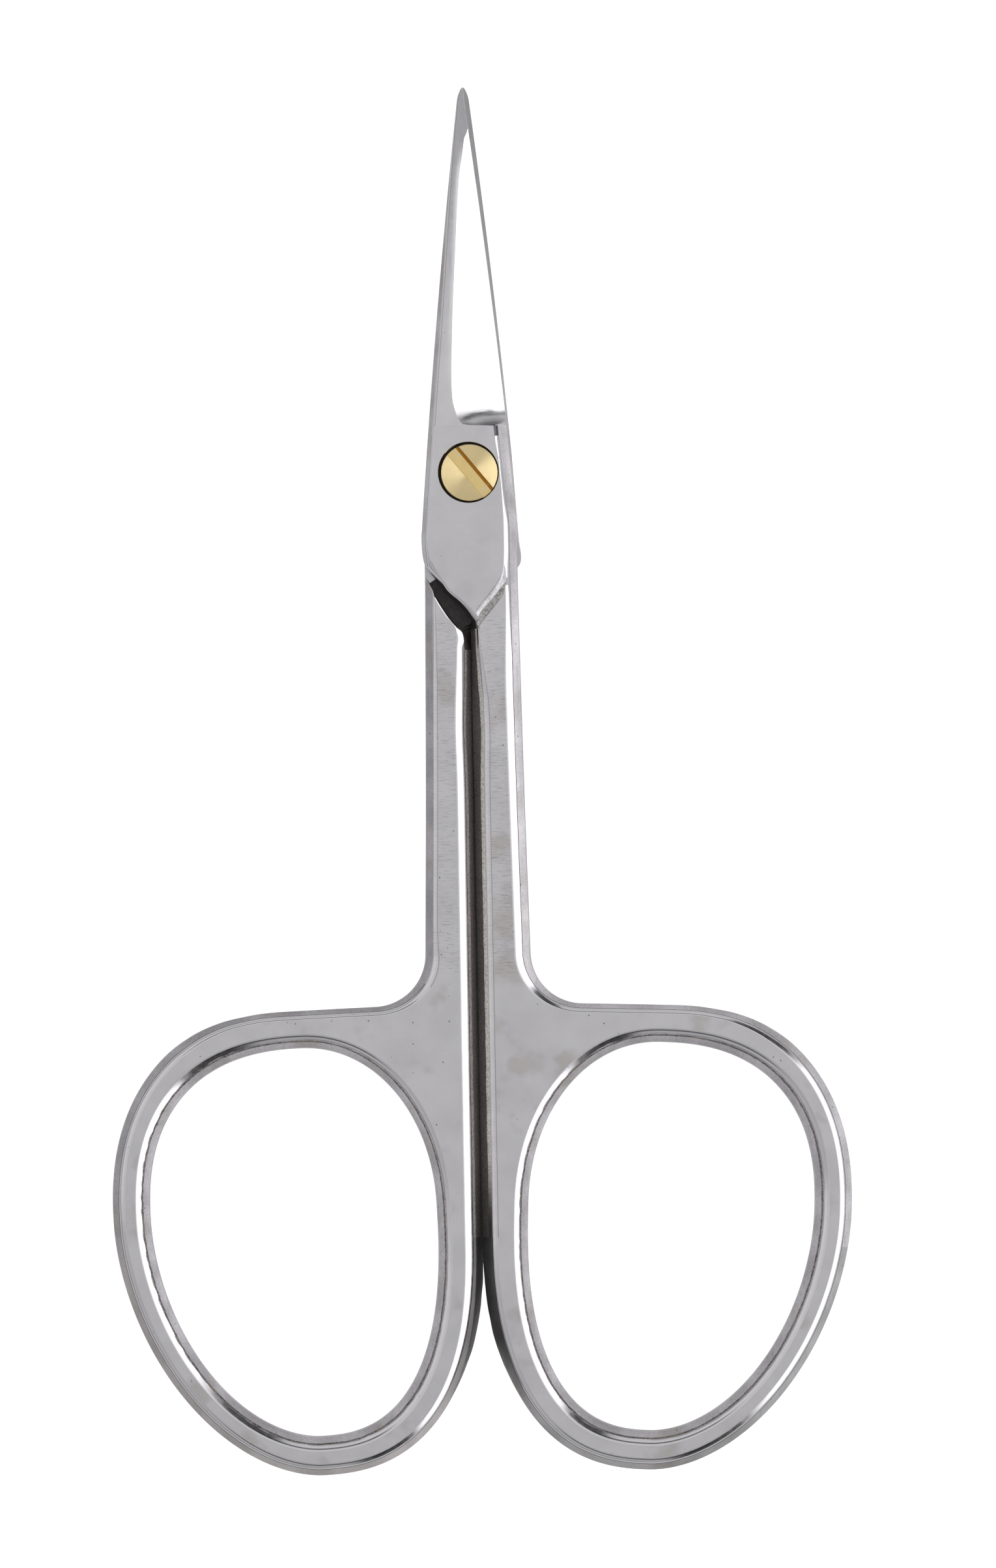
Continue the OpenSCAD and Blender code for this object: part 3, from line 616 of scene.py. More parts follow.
def blade_rows(shell, top_ids, bend):
    """Spine strip and ground face between the flat points of spine and cutting edge."""
    rows = []
    for y, i, j in zip(SECTIONS, RIM.span("spine"), RIM.span("edge")[::-1]):
        a, b = np.array(shell.points[top_ids[i]]), np.array(shell.points[top_ids[j]])
        r = max(min(ridge_x(y), b[0] - THIN), a[0] + THIN)
        base = bend * rise(r, y)
        heel = clamp01(1 - (y - HEEL_Y) / HEEL_RUN)
        crown = STRIP_CROWN * (1 - heel ** 2) * smooth01((BLADE_REACH - y - 1.5) / 4)
        ridge = np.array([r, y, base + blade_t(y) - crown])
        row = [top_ids[i]]
        crease = min(0.15, 0.04 / max(0.05, r - a[0]))
        for k in range(1, STRIP_COLUMNS):
            t = lerp(crease, 1, (k - 1) / (STRIP_COLUMNS - 1))
            p = lerp(a, ridge, t)
            row.append(shell.add(p[0], p[1], lerp(a[2], base + blade_t(y), t) - crown * t * t))
        row.append(shell.add(*ridge))
        low = edge_h(y)
        point = clamp01((low - EDGE_LAND) / (blade_t(y) * POINT_SHARE - EDGE_LAND))
        sag = HOLLOW * (1 - point) * (1 - heel ** 2)
        ground_edge = bend * rise(b[0], y) + low
        for k in range(1, GROUND_COLUMNS):
            t = k / GROUND_COLUMNS
            p = lerp(ridge, b, t)
            ground = lerp(ridge[2], ground_edge, t) - 4 * sag * t * (1 - t)
            row.append(shell.add(p[0], p[1], lerp(ground, base + PLATE_T, heel ** 3)))
        rows.append([*row, top_ids[j]])
    return rows


def bore_rings(shell, seat):
    """The walls of the screw's seat and bearing, or of its thread bore, down to the inner face."""
    top_z = LIFT - HALF_LEAF
    if seat:
        seat_r = HEAD_D / 2 + HEAD_CLEARANCE
        bore_r = BEARING_D / 2 + BEARING_CLEARANCE
        floor_z = LIFT - HEAD_SINK - HEAD_T - END_PLAY - HALF_LEAF
        profile = [(seat_r + SEAT_CHAMFER, top_z), (seat_r + 0.4 * SEAT_CHAMFER, top_z - 0.025),
                   (seat_r, top_z - 2 * SEAT_CHAMFER), (seat_r, floor_z), (bore_r, floor_z),
                   (bore_r, 0)]
    else:
        bore_r = THREAD_D / 2 + THREAD_CLEARANCE
        profile = [(bore_r + BORE_CHAMFER, top_z), (bore_r, top_z - BORE_CHAMFER), (bore_r, 0)]
    rings = []
    for r, z in profile:
        dx, dy = SEAT_SHIFT if r > HEAD_D / 2 else (0, 0)
        rings.append(shell.row([(x + dx, y + dy, h) for x, y, h in circle(r, z)]))
    for k, (a, b) in enumerate(zip(rings, rings[1:])):
        # The seat's chamfer is polished; the other walls of the bores are painted shadow
        shell.strip(a, b, "polish" if k < 2 and seat else "gap", closed=True)
    return rings


def from_x(line, x):
    """The part of a line from x on, as it runs from the outer to the inner side."""
    y = np.interp(x, [q[0] for q in line[::-1]], [q[1] for q in line[::-1]])
    return [(x, y), *[q for q in line if q[0] < x - 0.1]]


def shoulder_wall(foot, crease, flat):
    """Levels of the shoulder's wall on an arm's back, from the middle plane to the flat."""
    foot, crease, flat = (through_all(line, SHOULDER_COLUMNS) for line in (foot, crease, flat))
    wall = []
    for m in range(SHOULDER_COLUMNS - 1):
        t = m / (SHOULDER_COLUMNS - 1)
        ends_h = BEVEL_INNER_H if t > 0.5 else BEVEL_H * BACK_BEVEL_SHARE
        drop = lerp(SHOULDER_BEVEL_H, ends_h, smooth01(abs(2 * t - 1) * 3 - 2))
        grown = smooth01(4 * t - 3)
        share = lerp(LOW_W_SHARE, GROOVE_W / SIDE_INNER_W, grown)
        high = lerp(LOW_H_SHARE * (HANDLE_H - drop), GROOVE_H, grown)
        points = [(foot[m], 0.0), (lerp(foot[m], crease[m], share), high)]
        points += [(lerp(flat[m], crease[m], u), HANDLE_H - drop * u * u) for u in BEVEL_STEPS]
        wall.append([(p[0], p[1], -z) for p, z in points])
    return [list(level) for level in zip(*wall)]


def build_arm(bend, seat):
    """One forging: blade, joint half, shank and bow, as one closed skin."""
    seed = 11.0 if bend > 0 else 47.0
    shell = Shell()
    levels = [list(level) for level in zip(*(level_points(i, bend, seed) for i in range(len(RIM.e))))]
    inner_step, outer_step = RIM.span("inner_step"), RIM.span("outer_step")
    left = [inner_step[0] - 1, *inner_step, inner_step[-1] + 1]
    right = [outer_step[-1] + 1, *outer_step[::-1], outer_step[0] - 1]
    steps = len(left) - 1
    at_left, at_right, low_right = (levels[TOP][i][:2] for i in (left[0], right[0], right[-1]))
    top_line = through_all([at_left, *STEP_TOP[1:], at_right], STEP_COLUMNS)
    middle_line = through_all(STEP_MIDDLE, STEP_COLUMNS)
    foot_line = through_all([*STEP_FOOT, low_right], STEP_COLUMNS)
    lines = [lerp(top_line, middle_line, t) if t < 1 else lerp(middle_line, foot_line, t - 1)
             for t in (2 * k / steps for k in range(steps + 1))]
    spread_step(levels, left[1:], [line[0] for line in lines[1:]])
    spread_step(levels, right[1:-1], [line[-1] for line in lines[1:-1]])
    for columns in (left, right):
        for k, i in enumerate(columns):
            levels[TOP][i] = (*levels[TOP][i][:2], step_z(k / steps))
    ids = [shell.row(level) for level in levels]
    bottom, top = ids[0], ids[TOP]
    blade = set(RIM.span("apex", "spine"))
    heel = {i for i in RIM.span("right") if RIM.e[i][1] > NOTCH_Y}
    between = set(range(RIM.at["inner"][0] - 2, FLASH_END))
    free = {i for i in RIM.span("left", "inner_step") if RIM.e[i][1] < FREE_Y + 0.05}
    shank_inner, shank_outer = set(RIM.span("inner")), set(RIM.span("outer", "outer_step"))

    def kind(i, k, back=False):
        """The zone of the outline between level k and the next."""
        if i >= RIM.at["edge"][0]:
            return "edge" if RIM.e[i][1] > HEEL_Y + 0.3 else "side"
        if k < 2:
            if RIM.at["inner"][1] < i <= RIM.at["ring"][1] - 40:
                return "dull_fork" if back and k else "fork"
            if i in between:
                return "groove" if k == 0 else "dull_rim" if back else "rim"
            # The free edge's side below the lobe's top is painted shadow
            if i in free and RIM.e[i][1] < GAP_TOP_Y:
                return "gap"
            return "dull_side" if back else "side"
        if i in heel:
            return "notch"
        if i in inner_step:
            return "step"
        if i in shank_inner and not back or i in shank_outer and back and RIM.e[i][1] > -33:
            return "crease" if k == TOP - 1 else "polish"
        return "line" if k == 2 and i not in blade and i not in free else "polish"

    for k in range(TOP):
        shell.strip(ids[k], ids[k + 1], [kind(i, k) for i in range(len(bottom))], closed=True)

    # The step between the joint and the shank
    step_rows = []
    for k, line in enumerate(lines):
        t = k / steps
        rough = 0.012 * math.sin(math.pi * t)
        row = [top[left[k]]]
        for x, y in line[1:-1]:
            lump = wobble(x, y, 0, 0.25, seed) + 0.6 * wobble(x, y, 3, 0.1, seed)
            row.append(shell.add(x, y, step_z(t) + rough * lump))
        step_rows.append([*row, top[right[k]]])
    for k in range(steps):
        shell.strip(step_rows[k], step_rows[k + 1], "step_top" if k < steps // 2 else "step")

    # Blade
    spine, edge = RIM.span("spine"), RIM.span("edge")[::-1]
    rows = blade_rows(shell, top, bend)
    for low, high in zip(rows, rows[1:]):
        ground = "strip" if shell.points[low[0]][1] > RIDGE_KNOTS[0][1] else "ground"
        shell.strip(low, high, ["crease"] + ["strip"] * (STRIP_COLUMNS - 1) + [ground] * GROUND_COLUMNS)
    shell.face([top[0], *rows[0]], "strip")
    shell.strip([bottom[i] for i in spine], [bottom[i] for i in edge], "inner")
    shell.face([bottom[0], bottom[spine[0]], bottom[edge[0]]], "inner")

    # The joint's flat
    heel_left, lobe, heel_right = spine[-1], RIM.at["left"][1], edge[-1]
    plate = top[heel_left:lobe + 1] + step_rows[0][1:] + top[RIM.at["right"][0] + 1:heel_right + 1]
    rings = bore_rings(shell, seat)
    shell.fill(plate + rows[-1][::-1][1:-1], [rings[0]], "plate")

    # Back half of the shank and bow, which ends above at the shoulder
    corner = min(outer_step, key=lambda i: abs(RIM.e[i][1] - SHOULDER_TOP_Y))
    columns = [i for i in RIM.span("inner") if RIM.e[i][1] < SHOULDER_END_Y]
    columns += RIM.span("ring", "outer") + [i for i in outer_step if i < corner]
    back = []
    for i in columns:
        if i < outer_step[0]:
            back.append(level_points(i, bend, seed + 5, back_entry(i)))
        else:
            back.append([(x, RIM.e[i][1], z) for x, _, z in back[-1]])
    back = list(zip(*back))
    first, x0, y0 = columns[0], *RIM.e[corner][:2]
    foot = [(x0, y0), *SHOULDER[:-1], (0.4, -10.62), RIM.e[first][:2]]
    flat = [(x + 0.1, y - SHOULDER_BEVEL_W) for x, y in SHOULDER[:-2]]
    wall = shoulder_wall(foot, from_x(SHOULDER, back[2][-1][0]) + [back[2][0][:2]],
                         from_x(flat, back[TOP][-1][0]) + [(1.05, -10.25), back[TOP][0][:2]])
    wall_ids = [bottom[corner]] + shell.row(wall[0][1:])
    full = [[bottom[i] for i in columns] + wall_ids]
    for points, end in zip(back[1:], wall[1:]):
        row = []
        for i, (x, y, z) in zip(columns, points):
            if i > RIM.at["ring"][1] and y > MITRE_Y:
                y = MITRE_Y + (y - MITRE_Y) * (end[0][1] - MITRE_Y) / (y0 - MITRE_Y)
            row.append((x, y, -z))
        full.append(shell.row(row + end))

    def back_kind(m, k):
        past = m - len(columns)
        if k < 2 and past >= -1:
            # The shoulder's wall is painted shadow after its first columns
            return "side" if past < 6 else "gap"
        return kind(columns[m], k, True) if past < 0 else "polish"

    for k in range(TOP):
        shell.strip(full[k], full[k + 1], [back_kind(m, k) for m in range(len(full[k]))], closed=True)

    # The inner face, set in a little from the bulge's chamfered outline
    outline = bottom[heel_left:first + 1]
    face_edge = list(outline)
    for m in range(4, BULGE_COLUMNS + 1):
        x, y, z = levels[0][heel_left + m]
        dx, dy = RIM.inward[heel_left + m] * FACE_INSET * z
        face_edge[m] = shell.add(x + dx, y + dy, 0)
    chamfer = slice(3, BULGE_COLUMNS + 2)
    shell.strip(face_edge[chamfer], outline[chamfer], "polish")
    inner_face = face_edge + wall_ids[:0:-1] + bottom[corner:heel_right + 1]
    # The shadow that the other arm's lobe throws on it, beside the shoulder
    shade = face_edge[lobe - heel_left:] + wall_ids[:2:-1] + shell.row(SHADE_FAR)
    shell.fill(inner_face, [rings[-1], shade], "inner")
    shell.fill(shade, [], "gap")

    # Finger hole and the flats of the handle
    eye = [shell.row(ring) for ring in eye_rows(seed)]
    last_bevel = len(BEVEL_STEPS) - 1
    for k, (a, b) in enumerate(zip(eye, eye[1:])):
        depth = min(k, len(eye) - 2 - k)
        zone = "polish" if depth < last_bevel - 1 else "pitted" if depth <= last_bevel else "side"
        shell.strip(a, b, zone, closed=True)
    shell.fill(step_rows[-1][::-1] + top[left[-1] + 1:right[-1]], [eye[0]], "handle")
    shell.fill(full[TOP], [eye[-1]], "handle")
    return shell


FLAT_ZONES = ("handle", "plate", "inner", "gap")
FLAT_UP = 0.9999  # least upright part of a flat face's normal
BEVEL_UP = 0.88  # the same for a corner that takes over its flat's normal
SHARP_ANGLE = 30
SLOT_SHARP_ANGLE = 24


def closed_mesh(name, points, faces, materials=(), slots=None):
    """A mesh from points round the pivot, in the frame, with its faces turned outwards."""
    mesh = bpy.data.meshes.new(name)
    mesh.from_pydata(((np.array(points) + np.array([0, PIVOT_Y, LIFT])) * MM).tolist(), [], faces)
    for material in materials:
        mesh.materials.append(material)
    if slots:
        mesh.polygons.foreach_set("material_index", slots)
    bm = bmesh.new()
    bm.from_mesh(mesh)
    bmesh.ops.remove_doubles(bm, verts=bm.verts, dist=1e-7)
    bmesh.ops.dissolve_degenerate(bm, edges=bm.edges, dist=1e-8)
    bmesh.ops.recalc_face_normals(bm, faces=bm.faces)
    bm.to_mesh(mesh)
    bm.free()
    return mesh


def add_object(name, data):
    obj = bpy.data.objects.new(name, data)
    bpy.context.scene.collection.objects.link(obj)
    return obj


def even_normals(mesh, flat_slots, ridge_slots):
    """Smooth shading with a crisp ridge and flat flats: a bevel starts with its flat's normal."""
    mesh.shade_smooth()
    mesh.set_sharp_from_angle(angle=math.radians(SHARP_ANGLE))
    beside = {}
    for poly in mesh.polygons:
        for loop in poly.loop_indices:
            beside.setdefault(mesh.loops[loop].edge_index, set()).add(poly.material_index)
    for edge, slots in beside.items():
        if slots == ridge_slots:
            mesh.edges[edge].use_edge_sharp = True
    normals = np.zeros(len(mesh.loops) * 3, np.float32)
    mesh.corner_normals.foreach_get("vector", normals)
    normals = normals.reshape(-1, 3)
    level = {}
    for poly in mesh.polygons:
        if poly.material_index in flat_slots and abs(poly.normal.z) > FLAT_UP:
            up = math.copysign(1.0, poly.normal.z)
            for loop in poly.loop_indices:
                normals[loop] = (0, 0, up)
                level[mesh.loops[loop].vertex_index] = up
    for loop in mesh.loops:
        up = level.get(loop.vertex_index)
        if up and normals[loop.index][2] * up > BEVEL_UP:
            normals[loop.index] = (0, 0, up)
    mesh.normals_split_custom_set(normals.tolist())


def add_arm(name, bend, seat, body, node):
    """Builds an arm, the rear one turned half round, and lets it ride in place of its CAD node."""
    shell = build_arm(bend, seat)
    points = np.array(shell.points, float) + np.array([0, 0, HALF_LEAF])
    zones = sorted(set(shell.zones))
    mesh = closed_mesh(name, points * (bend, 1, bend), shell.faces, [MATERIALS[z] for z in zones],
                       [zones.index(z) for z in shell.zones])
    even_normals(mesh, [k for k, zone in enumerate(zones) if zone in FLAT_ZONES],
                 {zones.index("strip"), zones.index("ground")})
    arm = add_object(name, mesh)
    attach(arm, body)
    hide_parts(node)


def math_node(name, swapped=False):
    return lambda a, b: a.nodes.math(name, *((b, a) if swapped else (a, b)))


class Value:
    """A number in a node tree. Plain operators on it make Math nodes."""

    def __init__(self, nodes, socket):
        self.nodes, self.socket = nodes, socket

    __add__ = __radd__ = math_node("ADD")
    __mul__ = __rmul__ = math_node("MULTIPLY")
    __truediv__ = math_node("DIVIDE")
    __sub__ = math_node("SUBTRACT")
    __rsub__ = math_node("SUBTRACT", swapped=True)

    def __abs__(self):
        return self.nodes.math("ABSOLUTE", self)

    def ramp(self, low, high, to_low=0.0, to_high=1.0):
        return self.nodes.get("MapRange", 0, {"Value": self, "From Min": low, "From Max": high,
                              "To Min": to_low, "To Max": to_high}, interpolation_type="SMOOTHSTEP")

    def band(self, a, b, c, d):
        """1 between b and c, and 0 before a and after d."""
        return self.ramp(a, b) * self.ramp(c, d, 1, 0)


class Nodes:
    """A short way to write the node tree of a material or world."""

    def __init__(self, owner):
        owner.use_nodes = True
        self.tree = owner.node_tree
        self.tree.nodes.clear()

    def add(self, kind, inputs, **settings):
        node = self.tree.nodes.new("ShaderNode" + kind)
        for key, value in settings.items():
            setattr(node, key, value)
        for key, value in inputs.items():
            if isinstance(value, Value):
                self.tree.links.new(value.socket, node.inputs[key])
            else:
                node.inputs[key].default_value = value
        return [Value(self, socket) for socket in node.outputs], node

    def get(self, kind, output, inputs={}, **settings):
        values, node = self.add(kind, inputs, **settings)
        return values[output] if isinstance(output, int) else Value(self, node.outputs[output])

    def math(self, operation, a, b=0.0):
        return self.get("Math", 0, {0: a, 1: b}, operation=operation)

    def parts(self, vector):
        return self.add("SeparateXYZ", {0: vector})[0]

    def noise(self, place, scale, detail=2.0, stretch=(1, 1, 1), rough=0.5):
        where = self.get("Mapping", 0, {"Vector": place, "Scale": stretch})
        return self.get("TexNoise", 0, {"Vector": where, "Scale": scale, "Detail": detail,
                                        "Roughness": rough})

    def mix(self, share, a, b, **settings):
        return self.get("Mix", "Result", {"Factor": share, "A": a, "B": b}, data_type="RGBA",
                        **settings)

    def surface(self, colour, shade, overlay, rough, height, bump, **shader):
        """The shader: a shaded colour, another one over a share of it, roughness and bump."""
        base = self.mix(1.0, (*colour, 1.0), shade, blend_type="MULTIPLY")
        if overlay:
            base = self.mix(overlay[0], base, (*overlay[1], 1.0))
        normal = self.get("Bump", 0, {"Height": height, "Strength": bump, "Distance": BUMP_DISTANCE})
        inputs = {"Base Color": base, "Roughness": rough, "Normal": normal}
        inputs.update((key.replace("_", " "), value) for key, value in shader.items())
        self.add("OutputMaterial", {"Surface": self.get("BsdfPrincipled", 0, inputs)})


# Features a metre of each texture
PATCHES, STAINS, CLOUDS, LINES, PITS, SCRATCHES, FINE, WORN, LUMPS, GROOVES = (
    260.0, 300.0, 420.0, 1000.0, 2100.0, 2200.0, 2600.0, 6500.0, 7000.0, 9000.0)
BUMP_DISTANCE = 0.00002
ROUGH_SPREAD = 0.03  # how far the roughness varies each way
RUST = (0.3, 0.25, 0.19)
# Grind marks run across the shanks between these heights, in metres, and fade in and out
GRIND = [(y + PIVOT_Y) * MM for y in (-33.5, -31.5, -10, -8.5)]
HEEL_SHADE_ARC = (1.2, 3.95)  # crown of the painted shade arc on the heel's curved run-out
HEEL_SHADE_ARC_BEND = 0.2
HEEL_WEAR = [(HEEL_Y + d + PIVOT_Y) * MM for d in (0.9, 2.1)]


def metal(name, colour, roughness, smudge=0.08, streaks=None, grind=0.0, pits=0.3, grain=0.0,
          stain=0.0, metallic=1.0, heel=False, fade=None):
    """Steel with smudges, fine scratches, cross-grind marks on the shanks, pits, a coarse grain, and
    painted shade where the arms lie close and at the heel.
    """
    mat = bpy.data.materials.new(name)
    n = Nodes(mat)
    place = n.get("TexCoord", "Object")
    x, y, _ = sides = n.parts(place)
    fine = n.noise(place, FINE, 3.0)
    shade = n.noise(place, CLOUDS, 3.0).ramp(0.3, 0.7, 1.0 - smudge, 1.0)
    height = 0.3 * fine
    rough = fine.ramp(0.3, 0.7, roughness - ROUGH_SPREAD, roughness + ROUGH_SPREAD)
    if streaks:
        amount, stretch = streaks
        lines = n.noise(place, LINES, 2.5, stretch, 0.6)
        shade = shade * lines.ramp(0.6, 0.72, 1.0, 1.0 - amount)
        height = height + 0.8 * lines
    if grind:
        faint = n.noise(place, LINES, 3.0, (1.6, 13.0, 1.0), 0.6).ramp(0.5, 0.66)
        long = n.noise(place, LINES, 2.0, (1.3, 20.0, 1.0), 0.55).ramp(0.62, 0.72)
        patchy = n.noise(place, PATCHES).ramp(0.38, 0.62, 0.7, 1.1)
        marks = (0.3 * faint + 0.8 * long) * (y.band(*GRIND) * patchy)
        shade = shade * (1.0 - grind * marks)
        height = height - 1.5 * marks
    if pits:
        dots = n.add("TexVoronoi", {"Vector": place, "Scale": PITS, "Randomness": 1.0})[1]
        lucky = n.get("SeparateColor", 0, {0: Value(n, dots.outputs["Color"])}).ramp(0.86, 0.9)
        dot = Value(n, dots.outputs["Distance"]).ramp(0.05, 0.15, 1.0, 0.0) * lucky
        shade = shade * (1.0 - pits * dot)
        height = height - 2.0 * pits * dot
    if grain:
        lumps = n.noise(place, LUMPS, 4.0, rough=0.65)
        shade = shade * lumps.ramp(0.35, 0.6, 1.0 - grain, 1.0)
        height = height + 2.5 * grain * lumps
    if fade:
        # Painted shade: darker where the two arms lie close together
        axis, start, end, least = fade
        shade = shade * abs(sides[axis]).ramp(start * MM, end * MM, least, 1.0)
    if heel:
        # The grinding wheel's coarse run-out at the heel: rougher, with a painted shade arc and a
        # painted dark line at its foot
        across, high = x / MM, y / MM - PIVOT_Y
        sweep = n.noise(place, LINES, 3.0, (0.5, 5.0, 1), 0.6).ramp(0.35, 0.6, 1.0, 0.3)
        off = across - HEEL_SHADE_ARC[0]
        arc = abs(high - (HEEL_SHADE_ARC[1] - off * off * HEEL_SHADE_ARC_BEND))
        arc = arc.ramp(0.0, 0.34, 0.72, 0) * across.ramp(2.1, 1.3)
        foot = high.ramp(HEEL_Y + 0.08, HEEL_Y + 0.26, 0.85, 0.0) * across.ramp(2.2, 1.7)
        shade = shade * (1.0 - n.math("MAXIMUM", arc, foot) * across.ramp(-0.75, 0.2) * sweep)
        rough = rough + y.ramp(*HEEL_WEAR, 0.22, 0.0)
    brown = stain and (n.noise(place, STAINS, 3.0).ramp(0.54, 0.68) * stain, RUST)
    n.surface(colour, shade, brown, rough, height, 0.12 + 0.5 * grain, Metallic=metallic)
    return mat


# Looks of the steel, one for each zone of the surface
STEEL = (0.66, 0.65, 0.67)
ALONG = (7.0, 0.35, 1.0)
ROUGH_SIDE = {"smudge": 0.25, "streaks": (0.15, ALONG), "pits": 0.8}
# The rims darken with painted shade towards the fork, 43 to 49 mm below the pivot
RIM_SHADE = (1, 49.0 - PIVOT_Y, 43.0 - PIVOT_Y)
# The forks carry painted shade, darkest within 0.9 mm of the middle and gone by 3.2 mm, where the bows
# face each other
FORK_SHADE = (0, 0.9, 3.2)
MATERIALS = {
    "handle": metal("steel_handle_flat", STEEL, 0.24, grind=0.5, pits=0.7, stain=0.28),
    "plate": metal("steel_joint_flat", STEEL, 0.24, smudge=0.07, pits=0.8, stain=0.08),
    "polish": metal("steel_bevel", (0.68, 0.67, 0.69), 0.17, smudge=0.05, grind=0.16),
    "line": metal("steel_crease", (0.1, 0.095, 0.09), 0.45, grain=0.5),
    "crease": metal("steel_spine_crease", (0.42, 0.4, 0.39), 0.3),
    "strip": metal("steel_spine_strip", STEEL, 0.2, streaks=(0.1, ALONG)),
    # The ground face carries painted shade on the heel's run-out
    "ground": metal("steel_ground_face", (0.72, 0.71, 0.73), 0.16, smudge=0.03, pits=0.2,
                    streaks=(0.06, (3, 6, 1)), heel=True),
    # Painted shade: near-black on the bevel at the heel's notch
    "notch": metal("steel_notch_painted_shade", (0.1, 0.1, 0.11), 0.3, grain=0.3),
    "side": metal("steel_side", (0.7, 0.68, 0.71), 0.42, stain=0.25, grain=0.15, **ROUGH_SIDE),
    # Painted shade: a darker copy of the side for the arms' backs, which on the rear arm face away from
    # the softbox
    "dull_side": metal("steel_shaded_side", (0.55, 0.535, 0.56), 0.42, stain=0.25, grain=0.15,
                       **ROUGH_SIDE),
    "edge": metal("steel_cutting_edge", (0.6, 0.59, 0.61), 0.25),
    "inner": metal("steel_inner_face", (0.58, 0.57, 0.59), 0.22, streaks=(0.1, ALONG)),
    # Painted shadow: near-black steel for bore walls, the free edge's side, the shoulder's wall and the
    # shade beside it
    "gap": metal("steel_painted_shadow", (0.07, 0.062, 0.06), 0.5, grain=0.4, metallic=0.3),
    # Painted shade: the groove's strip is dark where the two shanks meet, darker still towards the fork
    "groove": metal("steel_groove_painted_shade", (0.2, 0.18, 0.175), 0.5, grain=0.4, metallic=0.3,
                    fade=(*RIM_SHADE, 0.6)),
    # Painted highlight: the rim's near-white, barely metallic colour; it darkens into painted shade
    # towards the fork
    "rim": metal("steel_rim_painted_light", (1.0, 0.97, 0.9), 0.34, grain=0.45, metallic=0.1,
                 fade=(*RIM_SHADE, 0.05)),
    # Painted shade: a darker copy of the rim for the arms' backs
    "dull_rim": metal("steel_shaded_rim", (0.48, 0.445, 0.43), 0.34, grain=0.4, metallic=0.3),
    # Painted shade on the forks, darker near the middle; the back's copy less so
    "fork": metal("steel_fork_painted_shade", (0.5, 0.49, 0.5), 0.42, stain=0.25, metallic=0.85,
                  fade=(*FORK_SHADE, 0.32), **ROUGH_SIDE),
    "dull_fork": metal("steel_back_fork", (0.54, 0.51, 0.51), 0.38, metallic=0.3,
                       fade=(*FORK_SHADE, 0.62), **ROUGH_SIDE),
    "pitted": metal("steel_pitted", (0.3, 0.28, 0.27), 0.36, grain=0.8, stain=0.5),
    "step_top": metal("steel_step_top", (0.52, 0.51, 0.53), 0.26, grain=0.2,
                      streaks=(0.2, (4, 4, 1))),
    "step": metal("steel_step", (0.33, 0.32, 0.31), 0.42, grain=0.5),
}


def brass(name, colour, roughness, rings):
    """Brass; a turned face has fine rings round the screw's axis."""
    mat = bpy.data.materials.new(name)
    n = Nodes(mat)
    place = n.get("TexCoord", "Object")
    centred = n.get("VectorMath", 0, {0: place, 1: (0, PIVOT_Y * MM, 0)}, operation="SUBTRACT")
    x, y, _ = n.parts(centred)
    radius = n.math("SQRT", x * x + y * y)
    grooves = n.noise(n.get("CombineXYZ", 0, {0: radius}), GROOVES, 3.0)
    fine = n.noise(place, SCRATCHES, 3.0)
    shade = fine.ramp(0.3, 0.7, 0.95, 1.0)
    rough = fine.ramp(0.3, 0.7, roughness - ROUGH_SPREAD, roughness + ROUGH_SPREAD)
    if rings:
        turned = n.get("Tangent", 0, direction_type="RADIAL", axis="Z")
        more, worn = {"Anisotropic": 0.85, "Anisotropic_Rotation": 0.25, "Tangent": turned}, None
    else:
        # Worn bright specks where the driver has slipped at the ends of the slot
        worn = (radius.ramp(0.0011, 0.0014) * n.noise(place, WORN).ramp(0.6, 0.64), (0.7, 0.68, 0.66))
        more = {}
    n.surface(colour, shade, worn, rough, rings * grooves + 0.15 * fine, 0.15, Metallic=1.0, **more)
    return mat


BRASSES = (brass("brass_turned", (1.0, 0.82, 0.45), 0.38, 1.0),
           brass("brass_slot_floor", (0.88, 0.68, 0.3), 0.3, 0.0),
           brass("brass_slot_wall", (0.62, 0.42, 0.14), 0.3, 0.0))
SCREW_COLUMNS = 128
THREAD_CHAMFER = 0.15
THREAD_DEPTH_SHARE = 0.3  # depth of a thread groove as a share of the pitch
CUTTER_RISE = 0.5  # how far the slot's cutter rises above the head
RIM_MARGIN = 0.02  # faces of the slot lie this far inside the head's chamfer
NEAR = 1e-6  # metres


